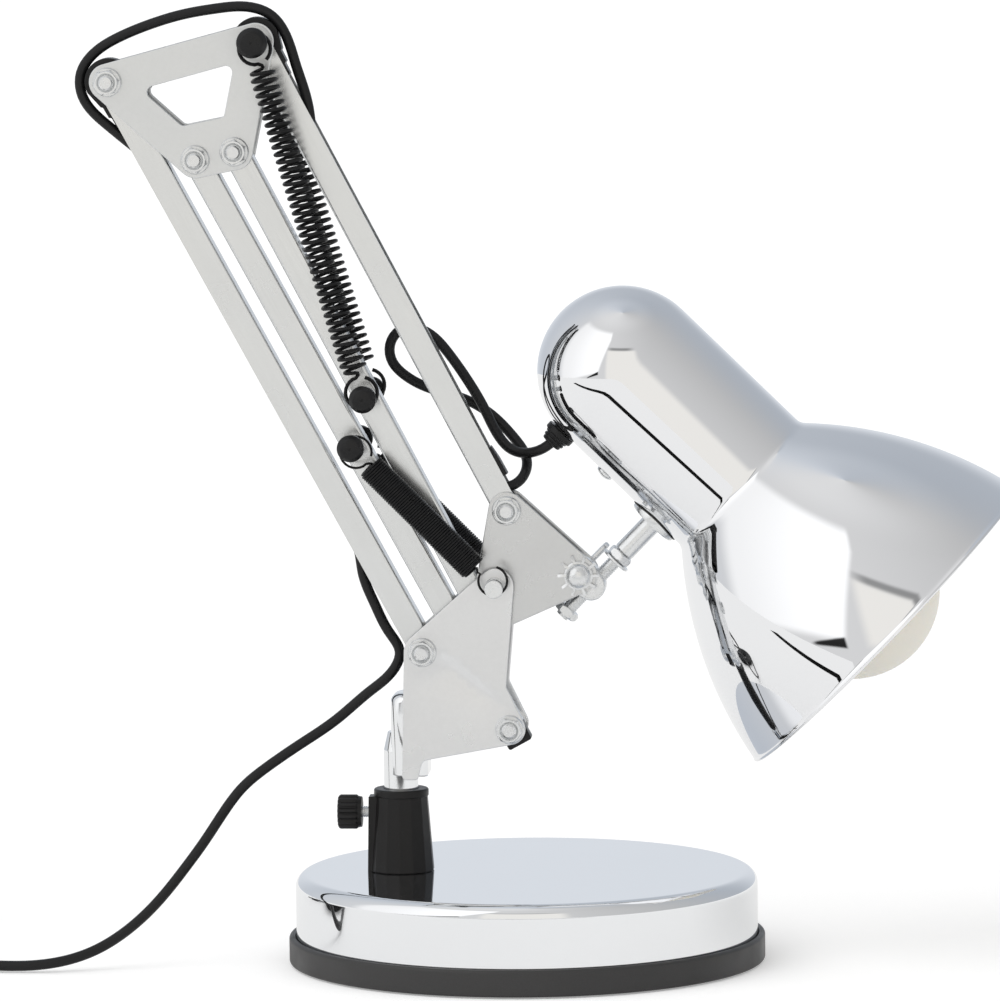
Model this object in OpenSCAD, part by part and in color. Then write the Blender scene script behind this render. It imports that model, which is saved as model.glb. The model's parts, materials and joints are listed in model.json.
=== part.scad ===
// Spring-balanced swing-arm desk lamp with a weighted round base, folded down.
// Millimetres, +Z up. The arms work in the plane y = 0 and the head points towards +X.
// The origin is the centre of the underside of the foot, on the table.

/* [Base] */
// Diameter of the chromed drum
base_d = 161; // [140:1:200]
// Height of the drum's top face above the table
base_h = 31; // [26:1:42]
// Rounding of the drum's top edge
base_edge_r = 4.5; // [2:0.5:8]
// Sheet thickness of the drum
base_wall = 1; // [0.8:0.1:1.6]
// How far the plastic foot ring stands out past the drum
ring_proud = 2.5; // [1.5:0.5:5]
// Height of the foot ring
ring_h = 9.3; // [7:0.1:14]
// Thickness of the foot ring's floor
ring_floor = 2; // [1.5:0.5:4]
// Width of the ledge on which the ballast rests
ring_ledge = 7; // [5:0.5:12]
// Height of the cast iron ballast
ballast_h = 10; // [6:0.5:15]

/* [Post] */
// Distance of the post behind the middle of the base
post_back = 43.5; // [30:0.5:52]
// Outer diameter of the post tube
post_d = 12; // [10:0.5:14]
// Wall of the post tube
post_wall = 1.5; // [1:0.1:2]
// Height of the top end of the post tube above the table
post_top = 80; // [74:0.5:84]
// Diameter of the plastic socket at its top
socket_top_d = 18.2; // [17:0.1:22]
// Diameter of the plastic socket at its foot
socket_foot_d = 22.7; // [20:0.1:28]
// Height of the plastic socket
socket_h = 29; // [24:0.5:31]
// Solid floor of the socket under the post
socket_floor = 8; // [7:0.5:10]
// Width of the rib that carries the thumb screw
rib_w = 8; // [6.5:0.5:10]
// Reach of that rib from the post axis
rib_reach = 11.7; // [11.5:0.1:14]
// Height of the thumb screw above the drum
thumb_z = 20.6; // [16:0.1:21]
// Diameter of the thumb screw's knob
thumb_d = 12; // [9:0.5:16]
// Length of the thumb screw's knob
thumb_l = 8.4; // [6:0.2:12]
// Bare shank between the rib and the knob
thumb_neck = 2; // [1:0.5:5]
// Diameter of the thumb screw's shank
thumb_shank_d = 4; // [3:0.5:5]
// Number of grooves round the thumb screw's knob
thumb_grooves = 16; // [10:1:22]

/* [Arm pivots] */
// Height of the rear pivot on the base bracket
pivot_z = 108.7; // [104:0.1:114]
// Rear pivot's distance in front of the post axis
pivot_x = 8.6; // [7:0.1:11]
// Distance between the two pivots of the lower arm
low_gap = 40.5; // [38:0.1:43]
// Fall of the line through those two pivots below the horizontal
low_fall = 41.8; // [40:0.1:44]
// Distance between the pivots of a lower bar
low_len = 225.4; // [215:0.2:236]
// Backward lean of the lower bars
low_lean = 28.4; // [28:0.1:29.5]
// Knee axle's distance in front of the rear knee pivot
knee_top_x = 51.6; // [48:0.1:55]
// Knee axle's height over the rear knee pivot
knee_top_z = 13.8; // [12:0.1:16]
// Distance from the lower link's knee pivot to the upper link's, along x
knee_foot_x = 13.6; // [13.2:0.1:15.5]
// Rise between those two pivots
knee_foot_z = 2.7; // [2:0.1:4]
// Distance between the pivots of an upper bar
up_len = 184; // [178:0.2:190]
// Backward lean of the upper bars
up_lean = 27.6; // [27:0.1:27.8]
// Tilt pivot's distance in front of the upper arm's lower pivot
tilt_x = 24.8; // [22:0.1:28]
// Tilt pivot's fall below the upper arm's lower pivot
tilt_drop = 22.6; // [20:0.1:25]

/* [Bars and plates] */
// Width of a bar, seen from the side
bar_w = 9; // [8.4:0.1:9.6]
// Depth of a bar, across the lamp
bar_t = 9; // [8:0.1:10]
// Sheet thickness of a bar
bar_wall = 0.9; // [0.7:0.1:1.2]
// Sheet thickness of the bracket and knee plates
plate_t = 1.2; // [1:0.1:1.8]
// Gap between a bar and the knee plate or head plate beside it
plate_gap = 0.3; // [0.2:0.1:0.6]
// Gap between the head plates and the base plates that they fold into
nest_gap = 2.2; // [1.9:0.1:3]
// Radius of the rounded corners of the plates
lobe_r = 6.4; // [5.8:0.1:7]
// Width of the knee plate's upper rail below the pivots' line
rail_top = 5.4; // [4.5:0.1:7]
// Width of the knee plate's side rails beside the pivots' lines
rail_side = 5.8; // [5:0.1:7]
// Height of the knee plate's foot over the lower pivots' line
rail_foot = 12.3; // [10:0.1:15]
// Diameter of the pivot bolts
bolt_d = 5; // [4:0.5:5]
// Width across the flats of the nuts
nut_af = 8; // [7.5:0.5:8]
// Diameter of the flange under each nut
nut_flange_d = 10.2; // [9.8:0.1:11]
// Height of a nut above its flange
nut_h = 3.4; // [2.6:0.2:4]
// Thickness of the flange under each nut
nut_flange_t = 1.2; // [0.8:0.1:1.6]
// Radius of the plastic hoods on the top ends of the main bars
hood_r = 6.6; // [6:0.1:7]

/* [Springs] */
// Outer diameter of the springs
spring_od = 9.6; // [8:0.2:10]
// Diameter of the spring wire
spring_wire = 1.5; // [1.2:0.1:1.6]
// Gap between a spring and the plate that it passes
spring_gap = 0.5; // [0.4:0.1:1]
// Curls of an upper spring
up_curls = 18; // [12:1:18]
// Curls of a lower spring
low_curls = 12; // [8:1:14]
// Distance of the spring pin on the lower link from its lower pivot
low_pin_at = 112.5; // [105:0.5:120]
// Distance of the spring pin on the upper link from its lower pivot
up_pin_at = 88; // [82:0.5:94]
// Diameter of the knobs on the spring pins
pin_knob_d = 9.4; // [8:0.2:11]
// Diameter of the knobs on the knee axle
axle_knob_d = 10.6; // [9:0.2:12]
// Length of those knobs
knob_l = 4.6; // [3.5:0.1:6]

/* [Head] */
// Dip of the head's axis below the horizontal
head_dip = 44.3; // [40:0.1:48]
// Length of the stem from the tilt pivot to the head's axis
stem_l = 61.3; // [58:0.1:66]
// Distance of the stem from the tilt pivot
stem_off = 5.8; // [5.6:0.1:7]
// Distance of the stem behind the neck of the shade
stem_back = 12.8; // [10:0.1:18]
// Diameter of the stem
stem_d = 7.4; // [6:0.1:8]
// Radius of the shade's cylinder
shade_r = 29.6; // [28:0.1:32]
// Length of the shade behind its neck, with the dome
shade_back = 86.3; // [84:0.1:95]
// Length of the shade's bell in front of the neck
bell_l = 69.8; // [64:0.1:74]
// Radius of the shade's rim
rim_r = 65.4; // [62:0.1:68]
// Radius of the bell's arc
bell_r = 143; // [130:1:160]
// Sheet thickness of the shade
shade_wall = 0.9; // [0.7:0.1:1.2]
// Diameter of the bulb
bulb_d = 61; // [55:0.5:64]
// Bulb's middle, measured back from the rim
bulb_back = 16.5; // [10:0.5:20]
// Outer diameter of the lampholder
holder_d = 39; // [36:0.5:42]
// Length of the lampholder
holder_l = 56; // [50:1:60]
// Diameter of the bulb's screw cap
cap_d = 26; // [25:0.5:27]
// Length of the bulb's screw cap
cap_l = 24; // [20:1:26]

/* [Cord] */
// Diameter of the cord
cord_d = 3.6; // [3.2:0.1:4]
// Turns in the coil of spare cord
coil_turns = 10; // [4:2:10]
// Mean diameter of that coil
coil_d = 43; // [40:1:48]
// Gap between neighbouring turns
coil_gap = 0.6; // [0.5:0.1:1]

/* [Hidden] */
$fn = 64;
// Radial play of a pin that turns in a hole
run_gap = 0.05;
// Gap at a joint that is pressed or glued together
fit_gap = 0.02;
// Clear space between a moving piece and its neighbour
clear = 0.3;
// Length that a cut runs past the face that it opens
cut = 1;
// Depth by which the straight edge of a plate stays inside its round corners
seam = 0.01;

// Directions in the plane of the arms, as [x, z]
function up(lean) = [-sin(lean), cos(lean)];
function xyz(p, y) = [p[0], y, p[1]];

// Layers across the lamp, as distances from the plane y = 0
knee_in = bar_t / 2 + plate_gap;
knee_out = knee_in + plate_t;
base_in = knee_out + nest_gap;
base_out = base_in + plate_t;
spring_y = base_out + spring_gap + spring_od / 2;
knob_y = spring_y + spring_wire;
knob_end = knob_y + knob_l;

// Pivot points in the plane of the arms, as [x, z]
post_x = -post_back;
base_rear = [post_x + pivot_x, pivot_z];
base_front = base_rear + low_gap * [cos(low_fall), -sin(low_fall)];
knee_rear = base_rear + low_len * up(low_lean);
knee_low = base_front + low_len * up(low_lean);
knee_top = knee_rear + [knee_top_x, knee_top_z];
knee_high = knee_low + [knee_foot_x, knee_foot_z];
head_top = knee_top - up_len * up(up_lean);
head_low = knee_high - up_len * up(up_lean);
tilt = head_top + [tilt_x, -tilt_drop];
low_pin = base_front + low_pin_at * up(low_lean);
up_pin = head_low + up_pin_at * up(up_lean);

// Base bracket: the springs' corner and the notch's corner, measured from its rear pivot
stub_off = [25.6, 22.8];
notch_off = [22.4, -13.2];
stub_p = base_rear + stub_off;
notch_p = base_rear + notch_off;
tab_r = 1.5;
tab_w = 5.8;
tab_left = post_x + 1.1;
socket_top = base_h + socket_h;
tab_z = socket_top + 4;
tab_step = 6.5;
tab_corner = [tab_left + tab_r, tab_z + tab_r];
step_corner = [tab_left + tab_w, tab_z + tab_step + tab_r];
tab_inner = [tab_left + tab_w - tab_r, tab_z + tab_r];
front_lobe_r = lobe_r - 1;
block_left = post_x - 3.1;
block_right = post_x + 10;
block_rise = 14;
block_z = tab_z + 1;
block_top = post_top + block_rise;

// Socket and thumb screw
socket_base = base_h;
post_seat = socket_base + socket_floor;
thumb_h = socket_base + thumb_z;
thumb_out = post_x - rib_reach;
rib_drop = 2;
screw_d = 5;
screw_depth = 6;
screw_head_d = 9;
screw_head_h = 3;
washer_d = 16;
washer_t = 1.5;

// Pivot hardware
bolt_r = bolt_d / 2;
bolt_end = 1;
bolt_head_h = 3.2;
rivet_d = 8;
rivet_h = 1.2;
sleeve_d = 9;
pin_d = 5;
pin_sleeve_d = 7;
pin_washer_t = 1;
cap_tongue = 12;
hood_tongue = 10;
cord_r = cord_d / 2;
// Middle of the cord from the middle of the channel that it lies in
cord_in = bar_w / 2 - bar_wall - cord_r - fit_gap;
// Ends of the cord inside the bars, from the lower and the upper pivot
low_cord_from = 58;
low_cord_to = 48;
up_cord_from = 28;
up_cord_to = 50;

// Head, along its own axis from the neck: + towards the mouth
head_axis = [cos(head_dip), -sin(head_dip)];
stem_dir = [sin(head_dip), cos(head_dip)];
stem_foot = tilt + stem_off * head_axis;
neck = stem_foot + stem_l * stem_dir + stem_back * head_axis;
dome_at = shade_r - shade_back;
// Length by which the cylinder and the bell run into each other at the neck
neck_lap = 2;
// Centre of the bell's arc, from its chord between neck and rim, as [radius, distance along the axis]
bell_chord = [rim_r - shade_r, bell_l];
bell_depth = sqrt(bell_r * bell_r - bell_chord * bell_chord / 4);
bell_mid = [shade_r, 0] + bell_chord / 2 + bell_depth / norm(bell_chord) * [-bell_chord[1], bell_chord[0]];
block_w = 9.4;
stud_d = 5;
stud_tail = 15;
collar_at = 16;
stem_nut_h = 3;
saddle_d = 13;
saddle_t = 1.6;
holder_front = 2;
strap_w = 12;
strap_l = 26;
shade_screw_back = 36.6;
shade_screw_d = 3.5;
shade_screw_head_d = 6.3;
grommet_back = 57.3;
grommet_d = 10.8;
grommet_neck_d = 7;
grommet_l = 6;
grommet_t = 2.5;
grommet_in_l = 3;
grommet_taper_d = 9.3;
shell_t = 0.6;
glass_top = bell_l - bulb_back + bulb_d / 2;
cap_front = 3;
cap_back = cap_front - cap_l;

// Cord route from the lower bar down to the table and along it, as [x, y, z]
lying_z = cord_r;
supply_start = xyz(base_rear + low_cord_from * up(low_lean) + cord_side(-1, low_lean), 0);
supply_route = [[-59.5, 0, 152], [-57.5, 0, 144], [-56, 0, 135], [-52, 0, 124.5], [-47, 0, 114.5],
    [-43.5, 0, 108], [-46.5, 0, 100.5], [-54, 0, 94], [-66, -1, 84], [-78, -3, 76], [-90, -6, 68],
    [-98, -8, 61.5], [-104, -10, 54], [-111, -13, 43.5], [-118, -15, 34], [-127, -18, 23], [-138, -22, 13],
    [-149, -25, 6.5], [-161, -28, 3]];
coil_c = [-233, 3];
coil_pitch = cord_d + coil_gap;
half_turns = coil_turns / 2;
coil_out = coil_d / 2 + coil_pitch * (half_turns - 0.5) / 2;
// Turns of the coil, from the outside in and out again one layer higher, as [x, y, z] after a turns
loop_rings = 24;
layer_rise = cord_d + coil_gap;
exit_turn = 0.25;
coil_dip = 0.4 * coil_pitch;
function coil_step(a) = min(a, coil_turns - a, half_turns - 0.5);
function coil_lift(a) = min(max(a - half_turns + 0.5, 0), 1);
function coil_r(a) = coil_out - coil_pitch * coil_step(a) - coil_dip * sin(180 * coil_lift(a));
function coil_point(a) = [coil_c[0] - coil_r(a) * sin(360 * a), coil_c[1] - coil_r(a) * cos(360 * a),
    lying_z + layer_rise * (1 - cos(180 * coil_lift(a))) / 2];
coil_points = [for (i = [0 : (coil_turns + exit_turn) * loop_rings]) coil_point(i / loop_rings)];
// Least gap between two turns, measured from point to point
coil_apart = loop_rings / 2;
echo(coil_gap_measured = min([for (i = [0 : len(coil_points) - coil_apart - 1])
    min([for (k = [i + coil_apart : len(coil_points) - 1])
        norm(coil_points[i] - coil_points[k])])]) - cord_d);
lying_y = coil_c[1] - coil_out;
lying_route = [[-173, -29, lying_z], [-187, lying_y, lying_z], [-201, lying_y, lying_z],
    [-217, lying_y, lying_z]];
// Cord route at the head, from the strain relief to the upper bar, measured from the bar's lower pivot
head_offsets = [[8.3, 3.5, 19.3], [1.3, 7.2, 19.8], [-4.2, 10, 25.3], [-8.7, 12, 33.8], [-14.2, 12.5, 43.3],
    [-21.2, 13, 53.3], [-29.2, 13.5, 60.8], [-36.7, 14, 61.8], [-41.2, 14.5, 57.3], [-41.2, 15, 50.8],
    [-36.7, 16, 45.3], [-28.7, 17, 40.8], [-17.7, 17.5, 37.3], [-6.7, 17, 31.3], [1.3, 15.5, 23.3],
    [5, 12, 18.7], [6.3, 7, 14.2], [4.4, 3, 9.9], [0.2, 0.8, 7.7], [-4.4, 0, 8.4], [-8.1, 0, 12]];
head_route = [for (p = head_offsets) xyz(head_top, 0) + p];
// Cord route over the knee, from the upper bar to the lower bar, measured from the knee axle
knee_offsets = [[18.5, 0, -33.3], [18, 0, -25.8], [16.5, 0, -18.3], [13.5, 0, -8.8], [10.5, 0, 0.7],
    [5, 0, 8.7], [-3.5, 0, 11.7], [-13.5, 0, 11.2], [-25.5, 0, 9.2], [-37.5, 0, 5.7], [-48.5, 0, 1.2],
    [-57, 0, -4.3], [-61.5, 0, -11.3], [-61, 0, -18.8], [-57, 0, -24.8], [-52, 0, -29.3], [-46, 0, -34.3],
    [-40, 0, -39.3], [-34, 0, -45.3]];
knee_route = [for (p = knee_offsets) xyz(knee_top, 0) + p];
// Switch and plug on the spare end of the cord
switch_l = 54;
switch_w = 22;
switch_h = 16;
switch_nose = 7;
coil_end = coil_point(coil_turns + exit_turn);
coil_first = coil_point(0) + [cord_d, 0, 0];
coil_last = coil_end + [0, cord_d, 0];
switch_p = [coil_end[0], coil_c[1] + 42];
switch_mid = switch_p + [0, switch_l / 2];
rocker_l = 16;
rocker_w = 8;
rocker_r = 5;
rocker_tip_r = 2;
rocker_rise = 4;
rocker_pin_d = 3;
rocker_pin_in = 3;
rocker_lean = 8;
rocker_z = switch_h - 2;
well_depth = 9;
plug_l = 34;
plug_w = 35;
plug_t = 14;
plug_nose_w = 26;
plug_round = 5;
plug_pitch = 18.6;
plug_pin_d = 4;
plug_pin_l = 19;
plug_p = [switch_p[0] + 36, switch_p[1] + 30];
boot_l = 20;
boot_d = 9.5;
boot_end_d = 6;
plug_in = plug_p + [0, plug_l / 2 + boot_l];
switch_out = switch_p + [0, switch_l];
coil_top = lying_z + layer_rise;
switch_route = [[switch_p[0], coil_c[1] + 12, coil_top], [switch_p[0], coil_c[1] + 24, coil_top - 0.4],
    [switch_p[0], switch_p[1] - cord_d, switch_h / 2], [switch_p[0], switch_p[1] - fit_gap, switch_h / 2]];
plug_route = [[switch_out[0], switch_out[1] + fit_gap, switch_h / 2],
    [switch_out[0], switch_out[1] + cord_d, switch_h / 2],
    [switch_out[0] + 2, switch_out[1] + 14, lying_z + 3],
    [switch_out[0] + 7, switch_out[1] + 24, lying_z], [switch_out[0] + 15, switch_out[1] + 31, lying_z],
    [switch_out[0] + 24, switch_out[1] + 33, lying_z], [plug_in[0] - 4, plug_in[1] + 17, lying_z + 1.6],
    [plug_in[0] - 0.6, plug_in[1] + 10.5, lying_z + 3.6], [plug_in[0], plug_in[1] + cord_d, plug_t / 2],
    [plug_in[0], plug_in[1] + fit_gap, plug_t / 2]];

// Sweep of a round section along points. Each ring is square to the mean of its two runs.
function unit(v) = v / norm(v);
function heading(p, i) = unit(p[min(i + 1, len(p) - 1)] - p[max(i - 1, 0)]);
function ring_axis(t, ref) = unit(cross(t, ref));
function ring(c, t, r, n, ref) = let (a = ring_axis(t, ref), b = cross(t, a))
    [for (k = [0 : n - 1]) c + r * (cos(360 * k / n) * a + sin(360 * k / n) * b)];
module tube(p, r, n, ref) {
    m = len(p);
    pts = [for (i = [0 : m - 1]) each ring(p[i], heading(p, i), r, n, ref)];
    walls = [for (i = [0 : m - 2]) for (k = [0 : n - 1]) let (a = i * n + k, b = i * n + (k + 1) % n)
        each [[a, a + n, b], [b, a + n, b + n]]];
    near_end = [for (k = [1 : n - 2]) [0, k, k + 1]];
    far_end = [for (k = [1 : n - 2]) let (f = (m - 1) * n) [f, f + k + 1, f + k]];
    polyhedron(pts, concat(walls, near_end, far_end), convexity = 10);
}

// Tangent directions and the straight-sided web between two circles given as [x, z, r]
function lean_of(a, b) = atan2(b[1] - a[1], b[0] - a[0]);
function span_of(a, b) = norm([b[0] - a[0], b[1] - a[1]]);
function touch(a, b, s) = let (h = lean_of(a, b) + s * acos((a[2] - b[2]) / span_of(a, b))) [cos(h), sin(h)];
function off(c, d) = [c[0], c[1]] + (c[2] - seam) * d;
module rail(a, b) {
    polygon([off(a, touch(a, b, 1)), off(b, touch(a, b, 1)),
        off(b, touch(a, b, -1)), off(a, touch(a, b, -1))]);
}
// Flat plate of thickness t: round corners, joined by tangents
module slab(v, t) {
    n = len(v);
    if (n > 2) linear_extrude(t) polygon([for (c = v) [c[0], c[1]]]);
    for (c = v) translate([c[0], c[1], 0]) cylinder(r = c[2], h = t);
    for (i = [0 : n > 2 ? n - 1 : 0]) linear_extrude(t) rail(v[i], v[(i + 1) % n]);
}
// Plate that lies in the plane of the arms, of thickness t from y upwards
module upright(v, y, t) {
    translate([0, y + t, 0]) rotate([90, 0, 0]) slab(v, t);
}
// Both copies of a shape that is the same on either side of the lamp
module both_sides() {
    children();
    mirror([0, 1, 0]) children();
}
// Round bar across the lamp, from y0 to y1
module cross_rod(p, d, y0, y1) {
    translate(xyz(p, y0)) rotate([-90, 0, 0]) cylinder(d = d, h = y1 - y0);
}
// Bolt holes through a plate that starts at y
module holes(pts, d, y) {
    for (p = pts) cross_rod(p, d, y - cut, y + plate_t + cut);
}
// Frame of a bar: origin at its lower pivot, z along it, x to its right
module on_bar(p, lean) {
    translate(xyz(p, 0)) rotate([0, -lean, 0]) children();
}
function cord_side(s, lean) = -s * cord_in * [cos(lean), sin(lean)];

// Flanged nut with its bolt's end, on a plate whose face is at distance y from the middle
module nut(p, y) {
    difference() {
        union() {
            cross_rod(p, nut_flange_d, y, y + nut_flange_t);
            translate(xyz(p, y + nut_flange_t)) rotate([-90, 0, 0])
                cylinder(d = nut_af / cos(30), h = nut_h, $fn = 6);
        }
        cross_rod(p, bolt_d + 2 * fit_gap, y - cut, y + nut_flange_t + nut_h + cut);
    }
}
// Bolt through plates whose outer faces are at distance y, with its low head at the rear
module bolt(p, y) {
    cross_rod(p, bolt_d, -y - nut_flange_t - nut_h - bolt_end, y);
    cross_rod(p, nut_flange_d, y, y + nut_flange_t);
    translate(xyz(p, y + nut_flange_t)) rotate([-90, 0, 0])
        cylinder(d = nut_af / cos(30), h = bolt_head_h, $fn = 6);
}

// Base

// Deep-drawn drum, open below, with a hole for the socket's screw
module base_shell() color("silver") difference() {
    rotate_extrude() difference() {
        drum_outline(base_d / 2, base_h, base_edge_r);
        drum_outline(base_d / 2 - base_wall, base_h - base_wall, base_edge_r - base_wall);
    }
    translate([post_x, 0, 0]) cylinder(d = screw_d + 2 * fit_gap, h = base_h + cut);
}
module drum_outline(r, h, edge) {
    translate([0, ring_floor]) square([r, h - edge - ring_floor]);
    translate([0, ring_floor]) square([r - edge, h - ring_floor]);
    translate([r - edge, h - edge]) circle(edge);
}
// Plastic foot ring that the drum stands in
module base_ring() color("#1b1b1d") rotate_extrude() {
    translate([base_d / 2 + fit_gap, 0]) square([ring_proud - fit_gap, ring_h]);
    translate([base_d / 2 - ring_ledge, 0]) square([ring_ledge + ring_proud, ring_floor]);
}
module ballast() color("dimgray") translate([0, 0, ring_floor])
    cylinder(r = base_d / 2 - base_wall - fit_gap, h = ballast_h);
module foot_pad() color("#202020") cylinder(r = base_d / 2 - ring_ledge - fit_gap, h = ring_floor);

// Tapered socket with a rib for the thumb screw
module post_socket() color("#161617") difference() {
    translate([post_x, 0, socket_base]) {
        cylinder(d1 = socket_foot_d, d2 = socket_top_d, h = socket_h);
        translate([-rib_reach, -rib_w / 2, 0]) cube([rib_reach, rib_w, socket_h - rib_drop]);
    }
    translate([post_x, 0, post_seat]) cylinder(d = post_d + 2 * run_gap, h = socket_h);
    translate([post_x, 0, socket_base - cut]) cylinder(d = screw_d + 2 * fit_gap, h = screw_depth + cut);
    translate([post_x, 0, thumb_h]) rotate([0, -90, 0])
        cylinder(d = thumb_shank_d + 2 * run_gap, h = rib_reach + cut);
}
// Screw and washer that hold the socket from inside the drum
module socket_screw() color("gray") translate([post_x, 0, base_h - base_wall]) {
    translate([0, 0, -washer_t]) cylinder(d = screw_d, h = washer_t + base_wall + screw_depth - fit_gap);
    translate([0, 0, -washer_t]) cylinder(d = washer_d, h = washer_t);
    translate([0, 0, -washer_t - screw_head_h]) cylinder(d = screw_head_d, h = screw_head_h, $fn = 6);
}
// Grooved plastic knob on a steel shank whose tip bears on the post
module thumb_screw() color("#1a1a1b") translate([post_x, 0, thumb_h]) rotate([0, -90, 0]) {
    translate([0, 0, post_d / 2 + run_gap])
        cylinder(d = thumb_shank_d, h = rib_reach + thumb_neck - post_d / 2 - run_gap);
    translate([0, 0, rib_reach + thumb_neck]) difference() {
        cylinder(d = thumb_d, h = thumb_l);
        for (i = [1 : thumb_grooves])
            rotate(360 * i / thumb_grooves) translate([thumb_d / 2, 0, thumb_l / 6])
                cylinder(d = thumb_d / 12, h = thumb_l);
    }
}

// Column

module post_tube() color("silver") translate([post_x, 0, post_seat + run_gap]) difference() {
    cylinder(d = post_d, h = post_top - post_seat - run_gap);
    translate([0, 0, -cut]) cylinder(d = post_d - 2 * post_wall, h = post_top);
}
// Block that is welded to the post and carries the base plates
module post_block() color("silver") difference() {
    translate([block_left, -base_in, block_z])
        cube([block_right - block_left, 2 * base_in, block_top - block_z]);
    translate([post_x, 0, block_z - cut]) cylinder(d = post_d + 2 * fit_gap, h = post_top - block_z + cut);
}
// Base plate with a tab down the post, a notch below its front pivot and a corner for the springs
module base_plate(y) difference() {
    upright([concat(stub_p, lobe_r), concat(base_rear, lobe_r), concat(tab_corner, tab_r),
        concat(tab_inner, tab_r), concat(step_corner, tab_r), concat(base_front, front_lobe_r),
        concat(notch_p, lobe_r)], y, plate_t);
    holes([base_rear, base_front], bolt_d + 2 * fit_gap, y);
}
module base_bracket_front() color("gainsboro") base_plate(-base_out);
module base_bracket_rear() color("gainsboro") base_plate(base_in);
// Bolts, nuts and spacing sleeves at the foot of the lower arm
module base_fasteners() color("lightgray") for (p = [base_rear, base_front]) {
    bolt(p, base_out);
    mirror([0, 1, 0]) nut(p, base_out);
    both_sides() difference() {
        cross_rod(p, sleeve_d, bar_t / 2 + run_gap, base_in);
        cross_rod(p, bolt_d + 2 * fit_gap, 0, base_in + cut);
    }
}
// Headed stubs for the lower ends of the lower springs
module spring_stubs() color("lightgray") both_sides() {
    cross_rod(stub_p, pin_d, base_out, knob_y + pin_washer_t);
    cross_rod(stub_p, pin_sleeve_d, base_out, spring_y - spring_wire);
    cross_rod(stub_p, pin_sleeve_d, knob_y, knob_y + pin_washer_t);
}

// Bars

module bar_blank(l) {
    rotate([90, 0, 0]) linear_extrude(bar_t, center = true) {
        translate([-bar_w / 2, 0]) square([bar_w, l]);
        circle(bar_w / 2);
        translate([0, l]) circle(bar_w / 2);
    }
}
// Pivot bores, and the open ends beyond them, where only the two cheeks go on
module bar_ends(l) {
    for (z = [0, l]) translate([0, 0, z]) rotate([90, 0, 0])
        cylinder(d = bolt_d + 2 * run_gap, h = bar_t + 2 * cut, center = true);
    for (z = [-bar_w / 2, l + bar_w / 2]) translate([0, 0, z])
        cube([bar_w + cut, bar_t - 2 * bar_wall, bar_w], center = true);
}
// Channel that is open on side s, for the cord
module channel_bar(l, s) difference() {
    bar_blank(l);
    translate([s * bar_wall, 0, l / 2]) cube([bar_w, bar_t - 2 * bar_wall, l + bar_w], center = true);
    bar_ends(l);
}
// Square tube with a hole for a spring pin
module tube_bar(l, pin_at) difference() {
    bar_blank(l);
    translate([0, 0, l / 2]) cube([bar_w - 2 * bar_wall, bar_t - 2 * bar_wall, l + bar_w], center = true);
    bar_ends(l);
    translate([0, 0, pin_at]) rotate([90, 0, 0])
        cylinder(d = pin_d + 2 * fit_gap, h = bar_t + 2 * cut, center = true);
}
// Plastic plugs in the two ends of a square tube
module tube_caps(l) {
    for (z = [0, 1]) translate([0, 0, z * l]) mirror([0, 0, z]) difference() {
        rotate([90, 0, 0]) linear_extrude(bar_t - 2 * bar_wall - 2 * fit_gap, center = true) {
            intersection() {
                circle(bar_w / 2);
                translate([-bar_w, -bar_w]) square([2 * bar_w, bar_w - fit_gap]);
            }
            translate([-bar_w / 2 + bar_wall + fit_gap, -bar_w / 4])
                square([bar_w - 2 * bar_wall - 2 * fit_gap, cap_tongue + bar_w / 4]);
        }
        rotate([90, 0, 0]) cylinder(d = bolt_d + 2 * run_gap, h = bar_t, center = true);
    }
}
// Rounded hood on a channel's top end, with a tongue in the channel that is open on side s
module hood(l, s) translate([0, 0, l]) difference() {
    rotate([90, 0, 0]) linear_extrude(bar_t - 2 * bar_wall - 2 * fit_gap, center = true) {
        intersection() {
            circle(hood_r);
            translate([-hood_r, fit_gap]) square([2 * hood_r, hood_r]);
        }
        translate([s * (bar_wall + fit_gap) / 2 - (bar_w - bar_wall - fit_gap) / 2, -hood_tongue])
            square([bar_w - bar_wall - fit_gap, hood_tongue + bar_w / 4]);
    }
    rotate([90, 0, 0]) cylinder(d = bolt_d + 2 * run_gap, h = bar_t, center = true);
}
module cord_run(z0, z1, s) translate([-s * cord_in, 0, z0]) cylinder(d = cord_d, h = z1 - z0);

// Main lower bar: a channel with its open side to the rear
module lower_bar() color("gainsboro") on_bar(base_rear, low_lean) channel_bar(low_len, -1);
module lower_hood() color("#1a1a1b") on_bar(base_rear, low_lean) hood(low_len, -1);
module lower_cord() color("#151516") on_bar(base_rear, low_lean)
    cord_run(low_cord_from, low_len - low_cord_to, -1);

// Lower link: a square tube with the pin of the lower springs
module lower_link() color("gainsboro") on_bar(base_front, low_lean) tube_bar(low_len, low_pin_at);
module lower_link_caps() color("#1a1a1b") on_bar(base_front, low_lean) tube_caps(low_len);
module lower_spring_pin() color("lightgray") spring_pin(low_pin);
module lower_spring_knobs() color("#1a1a1b") spring_knobs(low_pin, pin_knob_d);
// Pin through a link, with a sleeve and a washer on either side
module spring_pin(p) {
    cross_rod(p, pin_d, -knob_y, knob_y);
    both_sides() {
        cross_rod(p, pin_sleeve_d, bar_t / 2, spring_y - spring_wire);
        cross_rod(p, pin_knob_d, knob_y - pin_washer_t / 2, knob_y);
    }
}
// Domed knobs on the ends of a pin
module spring_knobs(p, d) both_sides() translate(xyz(p, knob_y)) rotate([-90, 0, 0]) rotate_extrude() {
    edge = knob_l / 3;
    square([d / 2 - edge, knob_l]);
    square([d / 2, knob_l - edge]);
    translate([d / 2 - edge, knob_l - edge]) circle(edge);
}

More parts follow.
